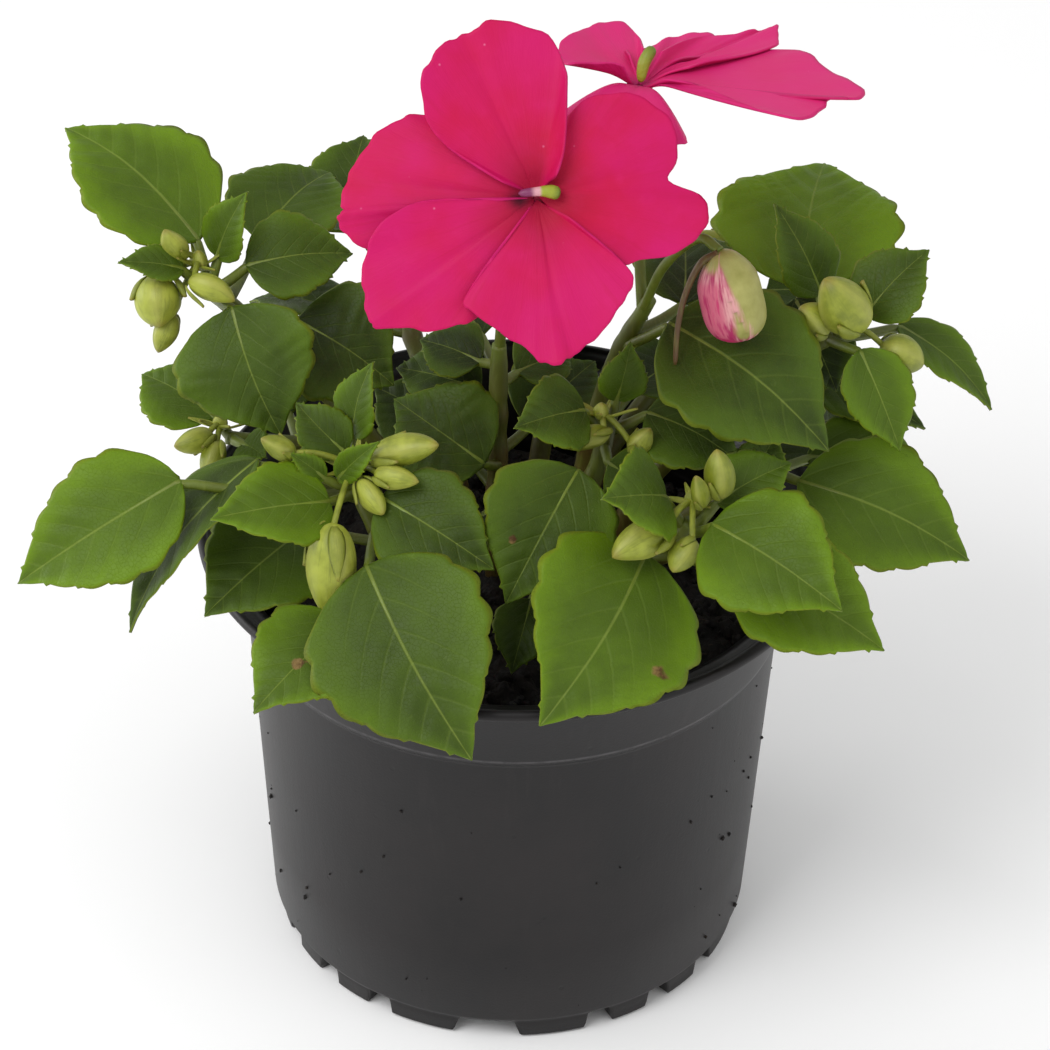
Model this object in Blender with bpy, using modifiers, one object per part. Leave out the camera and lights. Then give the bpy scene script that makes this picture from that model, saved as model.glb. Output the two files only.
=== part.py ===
"""A busy lizzie in a round nursery pot, modelled in metres with +Z up.

The origin is the middle of the pot's foot. The viewer's side is -Y, and +X is to the viewer's right.
Sizes below are millimetres and become metres as they enter a mesh.
"""
import math

import bmesh
import bpy
import numpy as np
from mathutils import Vector

MM = 0.001

# The pot
LIP_RADIUS = 52.5
POT_HEIGHT = 80.0
LIP_WIDTH = 2.8
LIP_DEPTH = 3.0
NECK_RADIUS = 47.3
COLLAR_RADIUS = 44.9
COLLAR_HEIGHT = 63.4
COLLAR_STEP = 0.5
WALL_FOOT_RADIUS = 40.9
WALL_FOOT_HEIGHT = 4.4
FOOT_RADIUS = 39.8
FOOT_WIDTH = 3.0
WALL = 1.2
POT_FLOOR = 5.6
POT_STEPS = 48
NOTCH_TURN = -4.6
WIDE_NOTCH = 16.0
NARROW_NOTCH = 7.0
NARROW_NOTCH_OFFSETS = (28.0, 45.0, 62.0)
NOTCH_HEIGHT = 3.9
NOTCH_WIDENS = 1.15
NOTCH_NARROWS = 0.72
DRAIN_RADIUS = 3.4
DRAIN_RING = 25.0
DRAIN_COUNT = 4
DRAIN_TURN = 40.0

# The compost
GAP = 0.3
SOIL_RIM_HEIGHT = 64.5
SOIL_CROWN = 3.0
SOIL_STEPS = 30
SOIL_LUMP = 0.9
SOIL_RINGS = (0.0, 10.0, 20.0, 29.0, 37.0)
HOLE_FLOOR = 56.0
HOLE_ROOM = 0.9
STEM_FOOT = 57.0

# Leaves, stems and stalks
BLADE = 0.7
STALK_RADIUS = 0.8
BROADEST = 0.4935
NOTCH_IN = 0.93
TOOTH_OUT = 1.05
TOOTH_SWEEP = 0.05
STEM_TAPER = 0.62

# Buds
PEDICEL_RADIUS = 0.7
PEDICEL_DEPTH = 0.25
PEDICEL_BOW = 0.12
BUD_RINGS = 4
BUD_FULLNESS = 1.12
BUD_TAPER = 0.55

# Petals and the ring that holds them
PETAL = 0.8
PETAL_ROWS = 4
PETAL_COLUMNS = 7
PETAL_FOOT = 1.6
PETAL_SHOULDER = 0.3
PETAL_NOTCH_SPAN = 0.22
HUB_RADIUS = 2.2
HUB_BORE = 1.3
HUB_HALF_HEIGHT = 0.9
HUB_STEPS = 10

# Colours
GREEN = (0.045, 0.13, 0.02)
BUD_GREEN = (0.33, 0.42, 0.10)
CERISE = (0.66, 0.012, 0.115)
PINK = (0.72, 0.16, 0.28)
POT_GREY = (0.045, 0.042, 0.043)
COMPOST = (0.012, 0.009, 0.007)


def clear_scene():
    for item in list(bpy.data.objects):
        bpy.data.objects.remove(item, do_unlink=True)


def new_collection(name):
    found = bpy.data.collections.new(name)
    bpy.context.scene.collection.children.link(found)
    return found


def make_material(name, colour, roughness):
    material = bpy.data.materials.new(name)
    material.use_nodes = True
    shader = material.node_tree.nodes["Principled BSDF"]
    shader.inputs["Base Color"].default_value = (*colour, 1.0)
    shader.inputs["Roughness"].default_value = roughness
    shader.inputs["Metallic"].default_value = 0.0
    return material


def mesh_object(name, points, faces, collection):
    """Put points in millimetres and their faces into a new object."""
    mesh = bpy.data.meshes.new(name)
    mesh.from_pydata([tuple(point) for point in np.asarray(points) * MM], [], faces)
    made = bpy.data.objects.new(name, mesh)
    collection.objects.link(made)
    return made


def freeze(item):
    """Apply the modifiers of an object."""
    depsgraph = bpy.context.evaluated_depsgraph_get()
    mesh = bpy.data.meshes.new_from_object(item.evaluated_get(depsgraph))
    item.modifiers.clear()
    item.data = mesh
    return item


def unit(vector):
    vector = np.asarray(vector, float)
    return vector / np.linalg.norm(vector)


def face_direction(lean, turn):
    """The way a blade faces: lean is its fall from straight up, turn the compass side it falls to.

    Turn 0 leans towards the viewer (-Y), and 90 to the right (+X).
    """
    lean, turn = math.radians(lean), math.radians(turn)
    return np.array((math.sin(lean) * math.sin(turn), -math.sin(lean) * math.cos(turn), math.cos(lean)))


def sheet(name, grid, thickness, collection):
    """A grid of points (rows, columns, 3) as a closed sheet, split into the same triangles on both faces."""
    rows, columns = grid.shape[:2]
    corner = np.arange(rows * columns).reshape(rows, columns)
    faces = []
    for row in range(rows - 1):
        for column in range(columns - 1):
            a, b = corner[row, column], corner[row, column + 1]
            c, d = corner[row + 1, column + 1], corner[row + 1, column]
            halves = ((a, b, c), (a, c, d)) if column < (columns - 1) / 2 else ((a, b, d), (b, c, d))
            faces.extend(tuple(int(i) for i in half) for half in halves)
    made = mesh_object(name, grid.reshape(-1, 3), faces, collection)
    shell = made.modifiers.new("Thickness", "SOLIDIFY")
    shell.thickness = thickness * MM
    shell.offset = 0.0
    return freeze(made)


def leaf_grid(root, base, tip, width, face, arch, fold, teeth):
    """Leaf points. Rows run up the stalk, then from the blade's base to its tip at each tooth and notch.

    The outline swells as t^0.55 (1 - t)^0.9, so the blade is broadest two fifths of the way up and
    runs out to a point. The midrib bows along the facing direction, and the halves fold about it.
    """
    root, base, tip = np.array(root, float), np.array(base, float), np.array(tip, float)
    facing = face_direction(*face)
    length = np.linalg.norm(tip - base)
    along = unit(tip - base)
    across = unit(np.cross(along, facing))
    normal = np.cross(across, along)
    inner = np.linspace(0.0, 1.0, 2 * teeth + 2)[1:-1]
    t = np.concatenate(((0.02,), inner, (0.985,)))
    swell = t ** 0.55 * (1.0 - t) ** 0.9 / BROADEST
    tooth = np.ones(len(t))
    tooth[1:-1:2] = NOTCH_IN
    tooth[2:-1:2] = TOOTH_OUT
    half = np.maximum(0.5 * width * swell * tooth, 0.5)
    sweep = TOOTH_SWEEP * length * np.sin(np.pi * t)
    side = np.array((-1.0, 0.0, 1.0))[None, :]
    reach = t[:, None] * length + sweep[:, None] * np.abs(side)
    rise = arch * length * np.sin(np.pi * t)[:, None] + fold * half[:, None] * np.abs(side)
    blade = (base + reach[..., None] * along + (half[:, None] * side)[..., None] * across
             + rise[..., None] * normal)
    stalk_across = unit(np.cross(base - root, facing))
    stalk = np.stack((root, 0.5 * (root + base)))[:, None, :] + STALK_RADIUS * side[..., None] * stalk_across
    return np.concatenate((stalk, blade))


def tube(name, route, radii, collection, resolution=0):
    """A stem or stalk: a round curve through the route, with its caps welded on."""
    curve = bpy.data.curves.new(name, "CURVE")
    curve.dimensions = "3D"
    curve.bevel_depth = MM
    curve.bevel_resolution = resolution
    curve.use_fill_caps = True
    spline = curve.splines.new("POLY")
    spline.points.add(len(route) - 1)
    for point, place, radius in zip(spline.points, route, radii):
        point.co = (*(np.asarray(place, float) * MM), 1.0)
        point.radius = radius
    holder = bpy.data.objects.new(name, curve)
    collection.objects.link(holder)
    depsgraph = bpy.context.evaluated_depsgraph_get()
    mesh = bpy.data.meshes.new_from_object(holder.evaluated_get(depsgraph))
    bpy.data.objects.remove(holder, do_unlink=True)
    shape = bmesh.new()
    shape.from_mesh(mesh)
    bmesh.ops.remove_doubles(shape, verts=shape.verts, dist=1e-6)
    bmesh.ops.recalc_face_normals(shape, faces=shape.faces)
    shape.to_mesh(mesh)
    shape.free()
    made = bpy.data.objects.new(name, mesh)
    collection.objects.link(made)
    return made


def bowed(start, end, bow, count):
    """Points from start to end on an arc that bows by the given vector."""
    start, end, bow = (np.asarray(item, float) for item in (start, end, bow))
    t = np.linspace(0.0, 1.0, count)[:, None]
    return start * (1.0 - t) + end * t + 4.0 * t * (1.0 - t) * bow


def smooth_route(places, count):
    """Points spread evenly along a smooth curve (Catmull-Rom) through the places."""
    places = np.asarray(places, float)
    padded = np.vstack((2 * places[0] - places[1], places, 2 * places[-1] - places[-2]))
    spans = len(places) - 1
    s = np.linspace(0.0, spans, count)
    index = np.minimum(s.astype(int), spans - 1)
    t = (s - index)[:, None]
    a, b, c, d = (padded[index + offset] for offset in range(4))
    return 0.5 * (2 * b + (c - a) * t + (2 * a - 5 * b + 4 * c - d) * t ** 2
                  + (3 * b - a - 3 * c + d) * t ** 3)


def bud_body(name, base, tip, width, collection, sides=6):
    """A pointed bud: a ball drawn out to a tip, fattest two fifths of the way along."""
    shape = bmesh.new()
    bmesh.ops.create_uvsphere(shape, u_segments=sides, v_segments=BUD_RINGS, radius=1.0)
    base, tip = np.array(base, float), np.array(tip, float)
    along = unit(tip - base)
    length = np.linalg.norm(tip - base)
    turn = Vector((0.0, 0.0, 1.0)).rotation_difference(Vector(along))
    for vertex in shape.verts:
        t = 0.5 * (1.0 + vertex.co.z)
        swell = (1.0 - BUD_TAPER * t ** 1.6) * 0.5 * width * BUD_FULLNESS
        local = Vector((vertex.co.x * swell, vertex.co.y * swell, t ** 1.15 * length))
        vertex.co = (turn @ local + Vector(base)) * MM
    mesh = bpy.data.meshes.new(name)
    shape.to_mesh(mesh)
    shape.free()
    made = bpy.data.objects.new(name, mesh)
    collection.objects.link(made)
    return made


def fuse(name, pieces, material, collection):
    """Join the pieces into one body with one union, and drop the loose copies."""
    first, rest = pieces[0], pieces[1:]
    if rest:
        joined = new_collection(name + "_pieces")
        for piece in rest:
            for home in list(piece.users_collection):
                home.objects.unlink(piece)
            joined.objects.link(piece)
        union = first.modifiers.new("Union", "BOOLEAN")
        union.operation = "UNION"
        union.operand_type = "COLLECTION"
        union.collection = joined
        union.solver = "MANIFOLD"
        freeze(first)
        for piece in list(joined.objects):
            bpy.data.objects.remove(piece, do_unlink=True)
        bpy.data.collections.remove(joined)
    for home in list(first.users_collection):
        home.objects.unlink(first)
    collection.objects.link(first)
    first.name = name
    first.data.name = name
    first.data.materials.clear()
    first.data.materials.append(material)
    return first


def leaf(label, root, base, tip, width, face=(35, 0), arch=0.08, fold=0.1, teeth=4):
    """A leaf as its own description: where its stalk leaves the stem, its blade's base and tip, its width."""
    return {"label": label, "root": root, "base": base, "tip": tip, "width": width, "face": face,
            "arch": arch, "fold": fold, "teeth": teeth}


def leafy_stem(name, route, thickness, leaves, extras, material, collection, workshop):
    """A stem that tapers to its tip, its leaves and the flower stalks that grow on it, as one body."""
    path = smooth_route(route, 7)
    radii = np.linspace(thickness, STEM_TAPER * thickness, len(path))
    pieces = [tube(name + "_stem", path, radii, workshop, resolution=1)]
    for spec in leaves:
        places = {key: value for key, value in spec.items() if key != "label"}
        pieces.append(sheet(spec["label"], leaf_grid(**places), BLADE, workshop))
    for label, places, radius in extras:
        points = smooth_route(places, 2 * len(places))
        pieces.append(tube(label, points, np.full(len(points), radius), workshop))
    return fuse(name, pieces, material, collection)


def bud_bunch(name, core, buds, material, collection, workshop):
    """Buds on short stalks that meet in a small core over the tip of the stem."""
    middle, radius = core
    top = np.array(middle, float) + (0.0, 0.0, radius)
    bottom = np.array(middle, float) - (0.0, 0.0, radius)
    pieces = [bud_body(name + "_core", bottom, top, 2.0 * radius, workshop)]
    for number, (base, tip, width) in enumerate(buds):
        base, tip = np.array(base, float), np.array(tip, float)
        pieces.append(bud_body(f"{name}_{number}", base, tip, width, workshop))
        inside = base + PEDICEL_DEPTH * (tip - base)
        stalk = bowed(middle, inside, (0.0, 0.0, PEDICEL_BOW * np.linalg.norm(inside - middle)), 3)
        pieces.append(tube(f"{name}_{number}_stalk", stalk, np.full(len(stalk), PEDICEL_RADIUS), workshop))
    return fuse(name, pieces, material, collection)


def petal_grid(centre, normal, axis_angle, length, half_angle, notch, slant, lift, cup):
    """A heart-shaped petal as a fan: rows run outwards, columns sweep across from edge to edge.

    Its reach falls off towards the side edges as the cube of v, dips by the notch in the middle and
    grows by the slant from one side to the other. It rises from the flower's plane by lift at its end,
    and cups as the square of its reach.
    """
    normal = unit(normal)
    level = (0.0, 1.0, 0.35) if abs(normal[2]) > 0.8 else (0.0, 0.0, 1.0)
    right = unit(np.cross(level, normal))
    upward = np.cross(normal, right)
    v = np.linspace(-1.0, 1.0, PETAL_COLUMNS)[None, :]
    u = np.linspace(0.0, 1.0, PETAL_ROWS)[:, None] ** 0.8
    angle = math.radians(axis_angle) + math.radians(half_angle) * v
    reach = length * (1.0 + slant * v - PETAL_SHOULDER * np.abs(v) ** 3
                      - notch * np.exp(-(v / PETAL_NOTCH_SPAN) ** 2))
    distance = PETAL_FOOT + (reach - PETAL_FOOT) * u
    height = lift * u + cup * u ** 2 * v ** 2 + 0.25 * cup * np.sin(3.0 * v + axis_angle) * u ** 2
    flat = np.cos(angle)[..., None] * right + np.sin(angle)[..., None] * upward
    return np.asarray(centre, float) + distance[..., None] * flat + height[..., None] * normal


def petal_ring(name, centre, normal, petals, material, collection, workshop):
    """Five petals round a small ring, which leaves the middle open for the column."""
    normal = unit(normal)
    pieces = [hub_ring(name + "_hub", centre, normal, workshop)]
    for number, petal in enumerate(petals):
        grid = petal_grid(centre, normal, *petal)
        pieces.append(sheet(f"{name}_{number}", grid, PETAL, workshop))
    return fuse(name, pieces, material, collection)


def hub_ring(name, centre, normal, collection):
    """The short tube where the petals' narrow feet meet, turned round the flower's own axis."""
    mesh = bpy.data.meshes.new(name)
    ring = bpy.data.objects.new(name, mesh)
    collection.objects.link(ring)
    angles = np.arange(HUB_STEPS) * 2.0 * np.pi / HUB_STEPS
    outline = ((HUB_BORE, HUB_HALF_HEIGHT), (HUB_RADIUS, HUB_HALF_HEIGHT),
               (HUB_RADIUS, -HUB_HALF_HEIGHT), (HUB_BORE, -HUB_HALF_HEIGHT))
    points = np.array([[(r * math.cos(a), r * math.sin(a), z) for r, z in outline] for a in angles])
    turn = np.array(Vector((0.0, 0.0, 1.0)).rotation_difference(Vector(normal)).to_matrix())
    points = points.reshape(-1, 3) @ turn.T + np.asarray(centre, float)
    faces = []
    for step in range(HUB_STEPS):
        after = (step + 1) % HUB_STEPS
        for side in range(4):
            beside = (side + 1) % 4
            faces.append((4 * step + side, 4 * step + beside, 4 * after + beside, 4 * after + side))
    mesh.from_pydata([tuple(point) for point in points * MM], [], faces)
    shape = bmesh.new()
    shape.from_mesh(mesh)
    bmesh.ops.recalc_face_normals(shape, faces=shape.faces)
    shape.to_mesh(mesh)
    shape.free()
    return ring


def turned(name, profile, steps, collection):
    """A profile of (radius, height) points turned round the Z axis."""
    mesh = bpy.data.meshes.new(name)
    points = [(radius * MM, 0.0, height * MM) for radius, height in profile]
    mesh.from_pydata(points, [(i, i + 1) for i in range(len(points) - 1)], [])
    made = bpy.data.objects.new(name, mesh)
    collection.objects.link(made)
    screw = made.modifiers.new("Turn", "SCREW")
    screw.steps = steps
    screw.render_steps = steps
    screw.use_merge_vertices = True
    screw.merge_threshold = 1e-5
    return freeze(made)


def cutter(name, points, faces, collection):
    made = mesh_object(name, points, faces, collection)
    made.hide_render = True
    made.display_type = "WIRE"
    return made


def cut_all(item, cutters, collection_name):
    """Take every cutter out of the item, then drop the cutters."""
    group = new_collection(collection_name)
    for tool in cutters:
        for home in list(tool.users_collection):
            home.objects.unlink(tool)
        group.objects.link(tool)
    cut = item.modifiers.new("Cut", "BOOLEAN")
    cut.operation = "DIFFERENCE"
    cut.operand_type = "COLLECTION"
    cut.collection = group
    cut.solver = "EXACT"
    freeze(item)
    for tool in list(group.objects):
        bpy.data.objects.remove(tool, do_unlink=True)
    bpy.data.collections.remove(group)
    return item


def cylinder(name, place, radius, low, high, sides, collection):
    shape = bmesh.new()
    bmesh.ops.create_cone(shape, cap_ends=True, segments=sides, radius1=radius * MM, radius2=radius * MM,
                          depth=(high - low) * MM)
    bmesh.ops.translate(shape, verts=shape.verts,
                        vec=(place[0] * MM, place[1] * MM, 0.5 * (low + high) * MM))
    mesh = bpy.data.meshes.new(name)
    shape.to_mesh(mesh)
    shape.free()
    made = bpy.data.objects.new(name, mesh)
    collection.objects.link(made)
    made.hide_render = True
    made.display_type = "WIRE"
    return made


def notch_cutter(name, azimuth, span, collection):
    """A wedge under the foot ring, with sides that lean in towards its top."""
    half_low = math.radians(0.5 * span)
    half_high = NOTCH_NARROWS * half_low
    inner, outer = FOOT_RADIUS - FOOT_WIDTH - 1.5, FOOT_RADIUS + 3.0
    middle = math.radians(azimuth)
    points = []
    for height, half in ((-2.0, NOTCH_WIDENS * half_low), (NOTCH_HEIGHT, half_high)):
        for radius, side in ((inner, -1), (outer, -1), (outer, 1), (inner, 1)):
            angle = middle + side * half
            points.append((radius * math.sin(angle), -radius * math.cos(angle), height))
    faces = [(3, 2, 1, 0), (4, 5, 6, 7), (0, 1, 5, 4), (1, 2, 6, 5), (2, 3, 7, 6), (3, 0, 4, 7)]
    made = cutter(name, points, faces, collection)
    shape = bmesh.new()
    shape.from_mesh(made.data)
    bmesh.ops.recalc_face_normals(shape, faces=shape.faces)
    shape.to_mesh(made.data)
    shape.free()
    return made


def wall_radius(height):
    """The outer radius of the pot's plain wall at a height."""
    rise = (height - WALL_FOOT_HEIGHT) / (COLLAR_HEIGHT - WALL_FOOT_HEIGHT)
    return WALL_FOOT_RADIUS + rise * (COLLAR_RADIUS - COLLAR_STEP - WALL_FOOT_RADIUS)


def make_pot(material, collection, workshop):
    """Wall, lip, collar line, floor and foot ring turned in one profile, then notched and drained."""
    neck = POT_HEIGHT - LIP_DEPTH
    profile = [
        (0.0, POT_FLOOR + 1.0),
        (WALL_FOOT_RADIUS - 4.0, POT_FLOOR),
        (wall_radius(POT_FLOOR + 2.0) - WALL, POT_FLOOR + 2.0),
        (wall_radius(COLLAR_HEIGHT - 2.0) - WALL, COLLAR_HEIGHT - 2.0),
        (NECK_RADIUS - WALL, neck),
        (LIP_RADIUS - LIP_WIDTH, POT_HEIGHT),
        (LIP_RADIUS - 0.5, POT_HEIGHT),
        (LIP_RADIUS, POT_HEIGHT - 0.9),
        (NECK_RADIUS + 0.4, neck - 1.2),
        (COLLAR_RADIUS + 0.3, COLLAR_HEIGHT + 1.2),
        (COLLAR_RADIUS, COLLAR_HEIGHT),
        (COLLAR_RADIUS - COLLAR_STEP, COLLAR_HEIGHT - 0.5),
        (WALL_FOOT_RADIUS, WALL_FOOT_HEIGHT),
        (FOOT_RADIUS, WALL_FOOT_HEIGHT - 0.9),
        (FOOT_RADIUS - 0.3, 0.0),
        (FOOT_RADIUS - FOOT_WIDTH, 0.0),
        (FOOT_RADIUS - FOOT_WIDTH - 0.6, POT_FLOOR - WALL - 0.4),
        (0.0, POT_FLOOR - WALL + 0.8),
    ]
    pot = turned("pot", profile, POT_STEPS, workshop)
    tools = []
    for quarter in range(4):
        start = NOTCH_TURN + 90.0 * quarter
        tools.append(notch_cutter("notch", start, WIDE_NOTCH, workshop))
        for offset in NARROW_NOTCH_OFFSETS:
            tools.append(notch_cutter("notch", start + offset, NARROW_NOTCH, workshop))
    for number in range(DRAIN_COUNT):
        angle = math.radians(DRAIN_TURN + number * 360.0 / DRAIN_COUNT)
        place = (DRAIN_RING * math.cos(angle), DRAIN_RING * math.sin(angle))
        tools.append(cylinder("drain", place, DRAIN_RADIUS, -1.0, POT_FLOOR + 4.0, 8, workshop))
    cut_all(pot, tools, "pot_cutters")
    return fuse("pot", [pot], material, collection)


def soil_top(x, y):
    """Height of the compost: a low crown with lumps from a few crossing waves."""
    distance = np.hypot(x, y) / COLLAR_RADIUS
    lumps = (np.sin(0.31 * x + 1.0) * np.cos(0.27 * y) + 0.6 * np.sin(0.55 * x - 0.43 * y + 2.0)
             + 0.5 * np.cos(0.21 * x + 0.66 * y))
    return SOIL_RIM_HEIGHT + SOIL_CROWN * (1.0 - distance ** 2) + SOIL_LUMP * lumps * (1.0 - distance ** 4)


def make_soil(stem_holes, material, collection, workshop):
    """The compost, turned to lie just inside the wall, with a lumpy top and a hole for each stem."""
    side = WALL + GAP
    top_radius = wall_radius(COLLAR_HEIGHT - 2.0) - side
    profile = [(radius, SOIL_RIM_HEIGHT) for radius in SOIL_RINGS]
    profile.append((top_radius - 0.3, SOIL_RIM_HEIGHT - 3.2))
    profile.append((wall_radius(POT_FLOOR + 3.0) - side, POT_FLOOR + 3.0))
    profile.append((WALL_FOOT_RADIUS - 5.5, POT_FLOOR + 1.4))
    profile.append((0.0, POT_FLOOR + 1.4))
    soil = turned("soil", profile, SOIL_STEPS, workshop)
    shape = bmesh.new()
    shape.from_mesh(soil.data)
    for vertex in shape.verts:
        if vertex.co.z > (SOIL_RIM_HEIGHT - 0.1) * MM:
            vertex.co.z = soil_top(vertex.co.x / MM, vertex.co.y / MM) * MM
    bmesh.ops.triangulate(shape, faces=shape.faces)
    shape.to_mesh(soil.data)
    shape.free()
    tools = [cylinder("hole", place, radius, HOLE_FLOOR, POT_HEIGHT, 8, workshop)
             for place, radius in stem_holes]
    cut_all(soil, tools, "soil_cutters")
    return fuse("soil", [soil], material, collection)


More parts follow.
